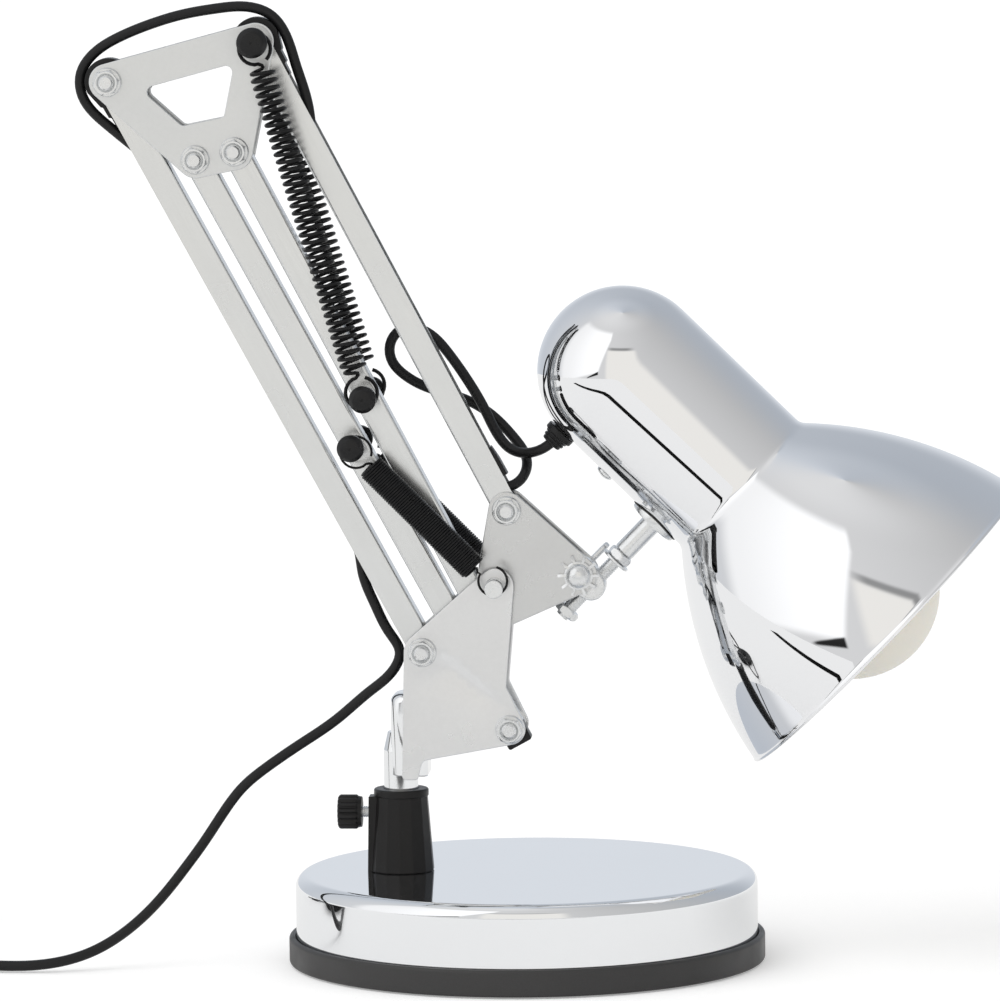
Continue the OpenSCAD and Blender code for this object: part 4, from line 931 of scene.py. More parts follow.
knee_satin = satin("knee_satin", (0.74, 0.75, 0.75), 0.34)
knee_plate("knee_front", -knee_out, -knee_in, "knee_plate_front")
knee_plate("knee_rear", knee_in, knee_out, "knee_plate_rear")
knee_bolts = pivot(knee_rear, knee_out, 20) + pivot(knee_low, knee_out, 45) + pivot(knee_high, knee_out, 5)
made("knee_bolts", knee_bolts + pin_skins(knee_top, sleeve_r, knee_out), zinc, "knee", ["knee_fasteners"],
     sharp=25)
made("axle_knobs", knob_skins(knee_top, axle_knob_r), black_gloss, "knee", ["knee_knobs"])

# Head bracket: two satin plates at the foot of the upper arm, held by a bolt and by a rivet.
# The knuckle tilts between their third corners.
tilt_p = joint["head_tilt"][[0, 2]]
rivet_r = 4
rivet_h = 1.2
rivet_rim = 0.3
head_satin = satin("head_satin", (0.67, 0.675, 0.675), 0.28)
head_line = lobed([(*head_top, lobe_r), (*head_low, front_lobe_r), (*tilt_p, lobe_r)])
for near, far, name, node in ((-knee_out, -knee_in, "head_plate_near", "head_plate_front"),
                              (knee_in, knee_out, "head_plate_far", "head_plate_rear")):
    made(name, [skin(sheet(head_line, near, far))], head_satin, "head_bracket", [node])


def domed(radius, rim, height, steps=8):
    """Profile of a low dome: a straight rim, then a quarter ellipse up to the pole."""
    t = quarter(steps)
    dome = np.column_stack([radius * np.cos(t), rim + (height - rim) * np.sin(t)])
    return np.vstack([[[0, 0], [radius - 0.15, 0], [radius, 0.12]], dome])


rivet = domed(rivet_r, rivet_rim, rivet_h)
head_bolts = pivot(head_top, knee_out, 25) + [collar(head_low, bolt_r, -knee_out, knee_out)]
head_bolts += [lathe(rivet, across(head_low, side * knee_out), (0, side, 0), 48) for side in (-1, 1)]
made("head_bolts", head_bolts, zinc, "head_bracket", ["head_fasteners"], sharp=25)

# Knuckle: a small steel block that tilts between the head plates, clamped by a bolt with a domed head.
# A toothed washer lies under the dome in front, and a wing nut sits on the bolt's end behind.
stem_foot = joint["head_swivel"][[0, 2]]
knuckle_r = 6.2
knuckle_end_r = 5
knuckle_half = 4.7
star_near = knee_out + 0.3
star_t = 1.4
star_r = 5
star_reach = 7.3
star_teeth = 10
tooth_half = 5
tooth_slope = 1.6
tooth_twist = 0.35
dome_r = 4.3
dome_h = 3.7
dome_rim = 0.4
wing_y = 6.3
wing_hub_r = 5
wing_hub_top_r = 3.9
wing_hub_h = 6
wing_half = 1
wing_outline = [(6.2, 3, 1.5), (9.6, 6, 3.4), (3.4, 3, 3)]
tilt_bolt_end = wing_y + wing_hub_h + 2
head_dip = 44.3
knuckle_line = lobed([(*tilt_p, knuckle_r), (*stem_foot, knuckle_end_r)])
made("knuckle", [skin(sheet(knuckle_line, -knuckle_half, knuckle_half, 0.7, 0.5))], zinc, "knuckle",
     ["knuckle_block"])
dome_y = -star_near - star_t
dome_skin = lathe(domed(dome_r, dome_rim, dome_h, 12), across(tilt_p, dome_y), (0, -1, 0), 64)
made("tilt_bolt_dome", [dome_skin, collar(tilt_p, bolt_r - bolt_gap, dome_y, tilt_bolt_end)], zinc, "knuckle",
     ["tilt_bolt"])


def star_grid():
    """Rows of the toothed washer: a disc whose radius steps out, on a short slope, at each of its teeth.
    Each tooth is twisted: one of its sides stands higher than the other."""
    sides = 36 * star_teeth
    angle = np.arange(sides) * 360 / sides
    off = (angle + 180 / star_teeth) % (360 / star_teeth) - 180 / star_teeth
    out = np.clip((tooth_half + tooth_slope / 2 - np.abs(off)) / tooth_slope, 0, 1)
    twist = tooth_twist * out * off / tooth_half
    near_face = np.array([(0, 0, 0), (star_r - 0.8, 0, 0), (star_r - 0.2, 0.94, 0.15), (star_r, 1, 0.3)])
    far_face = near_face[::-1] * [1, 1, -1] + [0, 0, star_t]
    radius, share, height = np.vstack([near_face, far_face]).T[..., None]
    return turned(radius + share * (star_reach - star_r) * out, height + share * twist,
                  across(tilt_p, -star_near), (0, -1, 0), sides)


made("toothed_washer", [skin(star_grid())], zinc, "knuckle", ["star_washer"], sharp=30)


def wing_skins():
    """Skins of the wing nut: a tapered hub, and two ears made as lobed sheets that stand on it."""
    hub = rounded([(0, 0, 0), (wing_hub_r, 0, 0.3), (wing_hub_r, 1.6, 0.4), (wing_hub_top_r, wing_hub_h, 0.6),
                   (0, wing_hub_h, 0)], 4, 0.1)
    skins = [lathe(hub, across(tilt_p, wing_y), (0, 1, 0), 64)]
    ear = sheet(lobed(wing_outline, 1.5), -wing_half, wing_half, 0.6, 0.3)
    for side in (-1, 1):
        c, s = side * np.cos(np.radians(head_dip)), side * np.sin(np.radians(head_dip))
        u, t, v = ear[..., 0], side * ear[..., 1], ear[..., 2]
        skins.append(skin(np.stack([tilt_p[0] + c * u - s * t, wing_y + v, tilt_p[1] + s * u + c * t], -1)))
    return skins


made("wing_nut_ears", wing_skins(), zinc, "wing_nut", ["wing_nut"], sharp=40)

# Stem: a threaded stud with two nuts in the knuckle, and a rod up to the shade.
# A saddle beds the rod on the round wall, over a thin black disc a little wider than itself, which shows as
# a dark ring round the saddle. A small screw holds the strap inside.
stem_dir = np.array([np.sin(np.radians(head_dip)), 0, np.cos(np.radians(head_dip))])
head_axis = np.array([np.cos(np.radians(head_dip)), 0, -np.sin(np.radians(head_dip))])
stem_reach = 61.3
stem_back = 12.8
stud_r = 2.5
stud_low = -15
stud_top = 16
stud_pitch = 0.8
rod_r = 3.7
washer_r = 5.4
washer_ends = (11.6, 12.5)
stem_nuts = [(-14, 0), (12.7, 20)]
stem_nut_h = 3
shade_r = 29.6
saddle_r = 9.0
saddle_t = 1.6
black_disc_r = 9.7
black_disc_t = 0.5
shade_screw_back = 36.6
screw_head_r = 3.15
screw_head_h = 1.9
screw_head_rim = 0.5
stem_base = across(stem_foot)
neck = stem_base + stem_reach * stem_dir + stem_back * head_axis


def stem_nut(start, spin):
    """Skin of a plain nut on the stem, with a chamfer at either end."""
    end = np.array([0, 0.25, 0.5, 0.75])
    rows = np.concatenate([end, stem_nut_h - end[::-1]])
    flank = hexagon(np.minimum(rows, stem_nut_h - rows), spin)
    cap = np.zeros((1, hex_sides))
    rows = start + np.concatenate([[0], rows, [stem_nut_h]])
    return skin(turned(np.vstack([cap, flank, cap]), rows, stem_base, stem_dir, hex_sides))


def bedded(radius, low, follow, slack):
    """Skin of a disc on the shade's wall: its upper face follows the round wall, whose distance along the
    stem grows with the distance from the middle plane. Its lower face follows the wall by a share."""
    sides = 96
    y = np.abs(np.cos(angles(sides)))
    share = np.array([0, 0.5, 1 - 0.4 / radius, 1])[:, None]
    wall = stem_reach - np.sqrt((shade_r + slack) ** 2 - (radius * share * y) ** 2)
    under = low + follow * (wall - wall[:1])
    under[-1] += 0.35 * (wall[-1] - under[-1])
    reach = np.vstack([radius * share, radius * share[::-1]])
    return skin(turned(reach, np.vstack([under, wall[::-1]]), stem_base, stem_dir, sides))


rod_end = stem_reach - shade_r - saddle_t
washer_low, washer_top = washer_ends
stud_line = threaded(stud_r, stud_low, stud_top, stud_pitch)
rod_line = rounded([(0, stud_top, 0), (rod_r, stud_top, 0.5), (rod_r, rod_end, 0.3), (0, rod_end, 0)], 4, 0.1)
washer_line = rounded([(0, washer_low, 0), (washer_r, washer_low, 0.2), (washer_r, washer_top, 0.2),
                       (0, washer_top, 0)], 3, 0.05)
stem_skins = [lathe(line, stem_base, stem_dir, 64) for line in (stud_line, rod_line, washer_line)]
stem_skins += [stem_nut(start, spin) for start, spin in stem_nuts]
made("stem_rod", stem_skins, zinc, "head", ["head_stem"], sharp=30)
screw_seat = neck - shade_screw_back * head_axis - (shade_r - 0.1) * stem_dir
screw_skin = lathe(domed(screw_head_r, screw_head_rim, screw_head_h), screw_seat, -stem_dir, 48)
made("saddle", [bedded(saddle_r, rod_end, 0, black_disc_t), screw_skin], zinc, "head", ["shade_fasteners"])
# A thin black disc under the saddle, a little wider than it, shows as a dark ring round the saddle's edge.
made("black_disc", [bedded(black_disc_r, stem_reach - shade_r - black_disc_t, 1, 0.02)], black_moulding, "head",
     ["shade_fasteners"])

# Shade: one steel sheet, spun to a dome, a cylinder and a flared bell, then polished and chromed.
# A crease marks the neck, and the rim is turned over a little. The inside has a coat of white enamel.
shade_wall = 0.9
coat = 0.2
coat_gap = 0.02
shade_back = 86.3
bell_l = 69.8
bell_rows = 40
rim_r = 65.4
bell_r = 143
crease = 1.6
bead = 0.75
shade_chrome = surface("shade_chrome", (0.90, 0.905, 0.92), 1, 0.022, grain=30, tone=0.012, patch=0.012,
                       relief=0.015)


def bell_mid():
    """Centre of the bell's arc, off the middle of its chord from the neck to the rim, towards the axis."""
    chord = np.array([rim_r - shade_r, bell_l])
    depth = np.sqrt(bell_r ** 2 - chord @ chord / 4)
    return np.array([shade_r, 0]) + chord / 2 + depth * unit(np.array([-chord[1], chord[0]]))


def shade_half(drawn):
    """Profile of the shade from the pole to the rim, drawn in by a wall: a quarter circle, a straight side, a
    small curve at the crease, and the bell's arc."""
    dome_at = shade_r - shade_back
    side_r = shade_r - drawn
    t = quarter(24)
    dome_rows = np.column_stack([side_r * np.sin(t), dome_at - side_r * np.cos(t)])
    middle, radius = bell_mid(), bell_r - drawn
    h = np.linspace(crease, bell_l, bell_rows)
    bell = np.column_stack([middle[0] + np.sqrt(radius ** 2 - (h - middle[1]) ** 2), h])
    corner = np.array([[side_r, -crease], [side_r, 0], bell[0]])
    s = np.linspace(0, 1, 6)[:-1, None]
    bend = (1 - s) ** 2 * corner[0] + 2 * s * (1 - s) * corner[1] + s ** 2 * corner[2]
    side = np.column_stack([np.full(6, side_r), np.linspace(dome_at + 2, -crease - 1, 6)])
    return np.vstack([dome_rows, side, bend, bell])


t = np.radians(np.linspace(-60, 200, 12))
lip = np.column_stack([rim_r - shade_wall / 2 + bead * np.cos(t), bell_l + bead * np.sin(t)])
shade_line = np.vstack([shade_half(0)[:-1], lip, shade_half(shade_wall)[:-1][::-1]])
made("spun_shade", [lathe(shade_line, neck, head_axis, 256)], shade_chrome, "head", ["lamp_shade"],
     sharp=50)
enamel = surface("white_enamel", (0.88, 0.875, 0.86), 0, 0.3, grain=500, tone=0.02, patch=0.06, relief=0.006)
coat_line = np.vstack([shade_half(shade_wall + coat)[:-1], shade_half(shade_wall + coat_gap)[:-1][::-1]])
made("shade_enamel", [lathe(coat_line, neck, head_axis, 192)], enamel, "head", ["lamp_shade"],
     sharp=50)

# Bulb and lampholder: a frosted globe bulb with a metal screw cap, in a white sleeve with a brass shell.
# A strap from the stem holds the sleeve inside the shade.
bulb_r = 30.5
bulb_at = 53.3
bulb_wrap = 38
bulb_neck_r = 13
bulb_neck_bend = 14
bulb_low = 3
holder_r = 19.5
holder_bore = 13.65
holder_low = -54
holder_front = 2
holder_seat = -22
holder_groove = (-12, -6)
holder_groove_in = 1
t = np.radians(np.linspace(90, -bulb_wrap, 40))
globe = np.column_stack([bulb_r * np.cos(t), bulb_at + bulb_r * np.sin(t)])
run = np.array([-np.sin(np.radians(bulb_wrap)), -np.cos(np.radians(bulb_wrap))])
taper = globe[-1] + run * (globe[-1, 0] - bulb_neck_r) / -run[0]
bulb_foot = rounded([(*globe[-1], 0), (*taper, bulb_neck_bend), (bulb_neck_r, bulb_low, 0.5),
                     (0, bulb_low, 0)], 8)
bulb_line = np.vstack([globe, bulb_foot[1:]])
frosted = surface("frosted_glass", (0.97, 0.925, 0.83), 0, 0.38, grain=900, tone=0.015, relief=0.003,
                  shine=0.45, also={"Subsurface Weight": 0.25, "Subsurface Radius": (0.012, 0.01, 0.007)})
made("globe_bulb", [lathe(bulb_line, neck, head_axis, 128)], frosted, "head", ["bulb_glass"])
white_moulding = surface("white_moulding", (0.86, 0.855, 0.83), 0, 0.4, grain=1500, tone=0.03, relief=0.005)
groove_low, groove_top = holder_groove
groove_r = holder_r - holder_groove_in
holder_line = rounded([(0, holder_low, 0), (holder_r, holder_low, 1.5), (holder_r, groove_low, 0.5),
                       (groove_r, groove_low + holder_groove_in, 0.4),
                       (groove_r, groove_top - holder_groove_in, 0.4), (holder_r, groove_top, 0.5),
                       (holder_r, holder_front, 0.8), (holder_bore, holder_front, 0.5),
                       (holder_bore, holder_seat, 0.3), (0, holder_seat, 0)], 4)
made("bulb_sleeve", [lathe(holder_line, neck, head_axis)], white_moulding, "head", ["lampholder"])
brass = surface("brass_shell", (0.78, 0.60, 0.28), 1, 0.35, grain=900, tone=0.06)
cap_metal = surface("cap_metal", (0.78, 0.78, 0.76), 1, 0.32, grain=900, tone=0.05)
dressed("holder_strap", zinc)
dressed("holder_contact", brass)
dressed("bulb_cap", cap_metal)

# Strain relief at the shade: a black moulded grommet with a flange and a ribbed, tapered neck.
# The head's cord comes out of it towards the arm.
grommet_back = 57.3
grommet_l = 6
grommet_line = rounded([(0, -3, 0), (3.5, -3, 0.3), (3.5, 0.2, 0), (5.4, 0.2, 0.3), (5.4, 2.4, 0.6),
                        (4.6, 2.6, 0.2), (4.4, 3.3, 0.2), (3.9, 3.4, 0.1), (3.85, 3.8, 0.1), (4.2, 3.9, 0.2),
                        (4.05, 4.7, 0.2), (3.6, 4.8, 0.1), (3.55, 5.1, 0.1), (3.8, 5.2, 0.2),
                        (3.5, grommet_l, 0.4), (0, grommet_l, 0)], 3, 0.03)
grommet_seat = neck - grommet_back * head_axis - shade_r * stem_dir
made("grommet", [lathe(grommet_line, grommet_seat, -stem_dir, 64)], black_gloss, "head", ["cord_grommet"])

# Cord: a thin round lead in a satin black sheath. It loops from the shade to the upper bar, runs inside it,
# bridges the knee, runs down inside the lower bar, and falls past the base plates to the table.
cord_d = 3.6
cord_in = bar_half - bar_wall - cord_d / 2 - 0.02
cord_step = 1.6
cord_sides = 16
low_cord = (58, low_len - 48)
up_cord = (28, up_len - 50)
head_offsets = [(8.3, 3.5, 19.3), (1.3, 7.2, 19.8), (-4.2, 10, 25.3), (-8.7, 12, 33.8), (-14.2, 12.5, 43.3),
                (-21.2, 13, 53.3), (-29.2, 13.5, 60.8), (-36.7, 14, 61.8), (-41.2, 14.5, 57.3),
                (-41.2, 15, 50.8), (-36.7, 16, 45.3), (-28.7, 17, 40.8), (-17.7, 17.5, 37.3),
                (-6.7, 17, 31.3), (1.3, 15.5, 23.3), (5, 12, 18.7), (6.3, 7, 14.2), (4.4, 3, 9.9),
                (0.2, 0.8, 7.7), (-4.4, 0, 8.4), (-8.1, 0, 12)]
knee_offsets = [(18.5, 0, -33.3), (18, 0, -25.8), (16.5, 0, -18.3), (13.5, 0, -8.8), (10.5, 0, 0.7),
                (5, 0, 8.7), (-3.5, 0, 11.7), (-13.5, 0, 11.2), (-25.5, 0, 9.2), (-37.5, 0, 5.7),
                (-48.5, 0, 1.2), (-57, 0, -4.3), (-61.5, 0, -11.3), (-61, 0, -18.8), (-57, 0, -24.8),
                (-52, 0, -29.3), (-46, 0, -34.3), (-40, 0, -39.3), (-34, 0, -45.3)]
supply_route = [(-59.5, 0, 152), (-57.5, 0, 144), (-56, 0, 135), (-52, 0, 124.5), (-47, 0, 114.5),
                (-43.5, 0, 108), (-46.5, 0, 100.5), (-54, 0, 94), (-66, -1, 84), (-78, -3, 76), (-90, -6, 68),
                (-98, -8, 61.5), (-104, -10, 54), (-111, -13, 43.5), (-118, -15, 34), (-127, -18, 23),
                (-138, -22, 13), (-149, -25, 6.5), (-161, -28, 3)]
cord_black = surface("cord_black", (0.009, 0.009, 0.0095), 0, 0.4, grain=1400, tone=0.35, patch=0.1,
                     patch_grain=90, relief=0.01, shine=0.28)


def in_bar(foot, lean, side, height):
    """Point of the cord in a channel that is open on a side: at its back wall, at a height along it."""
    return on_bar(np.array([-side * cord_in, 0, height]), foot, lean)


def cord_parts(name, points, cuts, hosts, nodes):
    """One smooth cord along points, cut into parts where it comes nearest to given places. Each part is a
    tube
    with a host: one body, which it rides on, or two bodies and two places, which are not used; such a part
    stays where it lies."""
    path = spline(points, cord_step)
    rows = [0] + [int(np.argmin(np.linalg.norm(path - place, axis=1))) for place in cuts] + [len(path) - 1]
    grid = swept(path, cord_d / 2, cord_sides)
    parts = []
    for i, host in enumerate(hosts):
        first, last = rows[i], rows[i + 1] + 1
        tube = skin(grid[first:last])
        part = made(f"{name}_{i + 1}", [tube], cord_black, None, [], sharp=60)
        if len(host) == 1:
            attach(part, host[0])
        else:
            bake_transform(part)
        for node in nodes if i == 0 else ():
            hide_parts(node)
        parts.append((part, path[first:last]))
    return parts


upper_low, upper_top = [in_bar(head_top, up_lean, 1, height) for height in up_cord]
lower_low, lower_top = [in_bar(base_rear, low_lean, -1, height) for height in low_cord]
up_way, low_way = [on_bar(np.array([0, 0, cord_d]), (0, 0), lean) for lean in (up_lean, low_lean)]
for name, low, way, top, body, node in (
        ("bar_cord_upper", upper_low, up_way, upper_top, "upper_arm", "upper_cord"),
        ("bar_cord_lower", lower_low, low_way, lower_top, "lower_arm", "lower_cord")):
    cord_parts(name, [low, low + 3 * way, top], [], [(body,)], [node])
head_points = np.vstack([[grommet_seat, grommet_seat - grommet_l * stem_dir], across(head_top) + head_offsets,
                         [upper_low - up_way, upper_low]])
head_parts = cord_parts("head_loop", head_points, [head_points[7], head_points[11]], [
    ("knuckle", "head", (-26, 0, 0), (-2, 0, 0)),
    ("head_bracket", "knuckle", (-44, 0, 0), (-28, 0, 0)),
    ("head_bracket", "upper_arm", (0, 14, 0), (0, 2, 0))], ["head_cord"])
knee_points = np.vstack([[upper_top, upper_top + up_way], across(knee_top) + knee_offsets,
                         [lower_top + low_way, lower_top]])
knee_parts = cord_parts("knee_bridge", knee_points, [knee_points[10]], [
    ("knee", "upper_arm", knee_points[8], knee_points[3]),
    ("knee", "lower_arm", knee_points[12], knee_points[18])], ["knee_cord"])

# Spare cord: it lies on the table past the lamp, wound in two layers and held by a tie.
# The spiral goes in along the table, climbs one layer in half a turn, and comes out again on top.
coil_c = np.array([-233, 3])
coil_turns = 10
coil_d = 43
coil_pitch = cord_d + 0.6
coil_layer = coil_pitch * (coil_turns / 2 - 0.5)
coil_out = coil_d / 2 + coil_layer / 2
coil_dip = 0.4 * coil_pitch
lying_z = cord_d / 2
lying_y = coil_c[1] - coil_out
lying_route = [(-173, -29, lying_z), (-187, lying_y, lying_z), (-201, lying_y, lying_z),
               (-217, lying_y, lying_z)]
switch_p = np.array([coil_c[0] - coil_out - coil_pitch / 4, coil_c[1] + 42])
switch_h = 16
tie_gap = 0.9
tie_rise = 0.7
tie_half = 3
tie_t = 0.8


def coil_points(turns):
    """Points of the coil after so many turns. The radius shrinks by a pitch a turn to half way and grows
    again, with a dip where the layer changes, and the height rises on half a cosine wave there."""
    half = coil_turns / 2
    step = np.minimum(np.minimum(turns, coil_turns - turns), half - 0.5)
    lift = np.clip(turns - half + 0.5, 0, 1)
    r = coil_out - coil_pitch * step - coil_dip * np.sin(np.pi * lift)
    angle = 2 * np.pi * turns
    return np.column_stack([coil_c[0] - r * np.sin(angle), coil_c[1] - r * np.cos(angle),
                            lying_z + coil_pitch * (1 - np.cos(np.pi * lift)) / 2])


coil = coil_points(np.arange(0, coil_turns + 0.251, 1 / 24))
coil_top = coil[-1, 2]
switch_route = [(switch_p[0], coil_c[1] + 12, coil_top), (switch_p[0], coil_c[1] + 24, coil_top - 0.4),
                (switch_p[0], switch_p[1] - cord_d, switch_h / 2), (switch_p[0], switch_p[1], switch_h / 2)]
supply_points = np.vstack([[lower_low, lower_low - low_way], supply_route, lying_route,
                           coil[:1] + [cord_d, 0, 0], coil, coil[-1:] + [0, cord_d, 0], switch_route])
supply_parts = cord_parts("supply_lead", supply_points, [supply_points[8]], [
    ("column", "lower_arm", supply_points[6], supply_points[2]),
    ("column", "base", supply_points[10], supply_points[20])], ["supply_cord", "cord_coil"])
tie_in, tie_out = coil_out - coil_layer - cord_d / 2 - tie_gap, coil_out + cord_d / 2 + tie_gap
tie_top = coil_top + cord_d / 2 + tie_rise
tie_mat = surface("tie_rubber", (0.05, 0.05, 0.052), 0, 0.6, grain=1600, tone=0.25, relief=0.02)
tie_line = rounded([(tie_in, 0.05, 1.5), (tie_out, 0.05, 1.5), (tie_out, tie_top, 2.5),
                    (tie_in, tie_top, 2.5)])


def tie_grid():
    """Rows of the tie: a flat band, bent round the bundle of turns and closed on itself."""
    rows = []
    for side, drawn in ((-1, 0), (1, 0), (1, tie_t), (-1, tie_t)):
        flat = tie_line - drawn * outward(tie_line)
        x = np.full(len(flat), coil_c[0] + side * tie_half)
        rows.append(np.column_stack([x, coil_c[1] + flat[:, 0], flat[:, 1]]))
    return np.array(rows)


tie = made("coil_tie", [skin(tie_grid(), along=True)], tie_mat, "base", [], sharp=40)

# In-line switch: a flat black box with round noses for the cord, and a rocker in a well.
# A seam runs round its middle, where its two halves are screwed together.
switch_half = np.array([11, 27])
nose_r = 7
switch_low_r = 1.5
switch_top_r = 2.5
seam_z = 7.6
seam_in = 0.45
rocker_half = 4
rocker_reach = 8
rocker_lean = 8
rocker_z = joint["rocker_flip"][2]
well_gap = 0.4
well_floor = switch_h - 6
table_gap = 0.02
switch_mid = np.array([switch_p[0], switch_p[1] + switch_half[1]])


def flat_rows(outline, rows):
    """Rows of a flat body on the table: its outline, drawn in along its normals by so much at each height."""
    drawn, height = np.array(rows, float).T
    flat = outline[None] - drawn[:, None, None] * outward(outline)
    return np.dstack([flat, height[:, None] * np.ones(len(outline))])


def box_outline(half_x, half_y, radius):
    """Rounded rectangle, anticlockwise."""
    return rounded([(half_x, -half_y, radius), (half_x, half_y, radius), (-half_x, half_y, radius),
                    (-half_x, -half_y, radius)])


def switch_grid():
    """Rows of the switch: round lower edge, a groove for the seam, round upper edge, and the well's mouth."""
    well = box_outline(rocker_half + well_gap, rocker_reach + well_gap, 0.6)
    body, well = by_angle([box_outline(*switch_half, nose_r), well], np.zeros(2))
    lower, upper = round_edges(0, switch_low_r, switch_h, switch_top_r)
    seam = [(0, seam_z), (seam_in, seam_z + 0.2), (seam_in, seam_z + 0.6), (0, seam_z + 0.8)]
    rows = np.vstack([[(6, table_gap)], lower, seam, upper, [(3.2, switch_h)]])
    mouth = [(-0.9, switch_h), (-0.3, switch_h), (0, switch_h - 0.3), (0, well_floor), (0.5, well_floor)]
    return np.vstack([flat_rows(body, rows), flat_rows(well, mouth)]) + [*switch_mid, 0]


def rocker_grid():
    """Rows of the rocker: its side view, high at both ends and dished between, carried across its width."""
    line = rounded([(-rocker_reach, -3, 1), (rocker_reach, -3, 1), (rocker_reach, 5, 0.8), (3, 3, 6),
                    (-3, 3, 6), (-rocker_reach, 5, 0.8)])
    c, s = np.cos(np.radians(rocker_lean)), np.sin(np.radians(rocker_lean))
    grid = sheet(line, -rocker_half, rocker_half, 0.35, 0.3)
    a, x, b = grid[..., 0], grid[..., 1], grid[..., 2]
    return np.stack([switch_mid[0] + x, switch_mid[1] + c * a - s * b, rocker_z + s * a + c * b], -1)


switch = made("inline_switch", [skin(switch_grid())], black_moulding, "base", ["switch_body"])
rocker = made("rocker", [skin(rocker_grid())], black_gloss, "rocker", ["switch_rocker"])

# Plug: a flat black moulding with two round pins, and a tapered, ribbed strain relief for the cord.
# Its body is moulded over the pins' ends, with grip ribs on either side.
plug_p = switch_p + [36, 30]
plug_half = 17
plug_w = (17.5, 13)
plug_t = 14
plug_corner = 5
plug_edge = 3
plug_face = 4.5
plug_rib_in = 0.5
plug_rib_pitch = 2.4
plug_rib_middle = 2
plug_rib_spread = 9
boot_l = 20
boot_r = (4.75, 3)
boot_rib_pitch = 2.5
boot_ribs = (2.5, boot_l - 1)
plug_in = plug_p + [0, plug_half + boot_l]
pin_pitch = 18.6
plug_pin_r = 2
plug_pin_l = 19
plug_sunk = -1
switch_out = switch_p + [0, 2 * switch_half[1]]
plug_route = [(*switch_out, switch_h / 2), (*(switch_out + [0, cord_d]), switch_h / 2),
              (*(switch_out + [2, 14]), lying_z + 3), (*(switch_out + [7, 24]), lying_z),
              (*(switch_out + [15, 31]), lying_z), (*(switch_out + [24, 33]), lying_z),
              (*(plug_in + [-4, 17]), lying_z + 1.6), (*(plug_in + [-0.6, 10.5]), lying_z + 3.6),
              (*(plug_in + [0, cord_d]), plug_t / 2), (*plug_in, plug_t / 2),
              (*(plug_in - [0, boot_l]), plug_t / 2)]


def ribs(place, pitch):
    """Depth of ribs along a line: it falls and rises between 1 and 0, once in each pitch."""
    return 0.5 + 0.5 * np.cos(place * 2 * np.pi / pitch)


def plug_skins():
    """Skins of the plug: a body drawn in at its faces, with grip ribs on its sides, and a boot whose radius
    falls along the cord and dips at each rib."""
    outline = rounded([(plug_w[0], -plug_half, plug_corner), (plug_w[1], plug_half, plug_corner),
                       (-plug_w[1], plug_half, plug_corner), (-plug_w[0], -plug_half, plug_corner)], 8)
    lower, upper = round_edges(0, plug_edge, plug_t, plug_edge)
    rows = np.vstack([[(plug_face, table_gap)], lower, upper, [(plug_face, plug_t)]])
    body = flat_rows(by_angle([outline], np.zeros(2))[0], rows)
    grip = np.sqrt(np.clip(1 - np.abs(body[..., 1] - plug_rib_middle) / plug_rib_spread, 0, 1))
    body[..., 0] -= np.sign(body[..., 0]) * plug_rib_in * grip * ribs(body[..., 1], plug_rib_pitch)
    s = np.linspace(plug_sunk, boot_l, 85)
    dip = plug_rib_in * ribs(s, boot_rib_pitch) * ((s > boot_ribs[0]) & (s < boot_ribs[1]))
    radius = boot_r[0] - (boot_r[0] - boot_r[1]) * np.clip(s, 0, boot_l) / boot_l - dip
    boot = np.vstack([[(0, plug_sunk)], np.column_stack([radius, s]), [(0, boot_l)]])
    return [skin(body + [*plug_p, 0]), lathe(boot, (*(plug_p + [0, plug_half]), plug_t / 2), (0, 1, 0), 48)]


pin_line = rounded([(0, plug_sunk, 0), (plug_pin_r, plug_sunk, 0.1), (plug_pin_r, plug_pin_l, 1),
                    (0, plug_pin_l, 0)], 5, 0.1)
pins = [lathe(pin_line, (plug_p[0] + side * pin_pitch / 2, plug_p[1] - plug_half, plug_t / 2), (0, -1, 0), 48)
        for side in (-1, 1)]
plug = made("plug", plug_skins(), black_moulding, "base", ["plug_body"], sharp=45)
prongs = made("plug_prongs", pins, zinc, "base", ["plug_pins"])
lead = cord_parts("plug_tail", plug_route, [], [("base",)], ["plug_lead"])

# Studio: a plain pale floor, an even sky and one broad soft key light.
# A round tent that only mirrors see stands about the lamp: a white lit panel at the left, a cream card in
# front, grey cloth elsewhere. A smoked film and a dark strip on the floor are the table and its front edge.
floor_half, film_half = 14, 2.2
floor_z, film_z, strip_z = -0.0006, -0.0004, -0.0002
floor_colour, floor_glow = 0.80, 0.31
sky_seen, sky_falling = 1.0, 0.74
key_strength, key_spread = 1.05, 50
key_from = (-0.62, -0.55, 0.75)
tent_r, tent_middle = 2.2, (0.05, 0, 0.15)
cloth_level, cloth_sway, cloth_turn = 0.60, 0.12, -50
overhead, overhead_rise = 0.06, (55, 75)
behind, behind_rise, behind_turn = 0.22, (6, 34), (130, 175)
cloth_tint, tint_turn = [-0.035, 0, 0.05], (60, 150)
card_colour, card_top = [0.90, 0.88, 0.84], (31, 35)
card_left, card_right = (-23, -17), (18, 26)
card_edge_left, card_edge_right = (-24, -12), (8, 24)
card_edge_rise, card_edge_fade, card_edge_dark = 35, (0.6, 3), 0.55
panel_left, panel_top = (-94, -82), (53, 60)
panel_level, panel_gain, panel_turn = 0.98, 0.17, (-85, -35)
wedge_left, wedge_right, wedge_fade, wedge_dark = (-48, -44), (-31, -29.5), (0, 0.8), 0.97
scene = bpy.context.scene
scene.view_settings.view_transform = "Standard"


def staged(name, mesh, material):
    """A piece of the studio, from its mesh and material."""
    mesh.materials.append(material)
    thing = bpy.data.objects.new(name, mesh)
    scene.collection.objects.link(thing)
    return thing


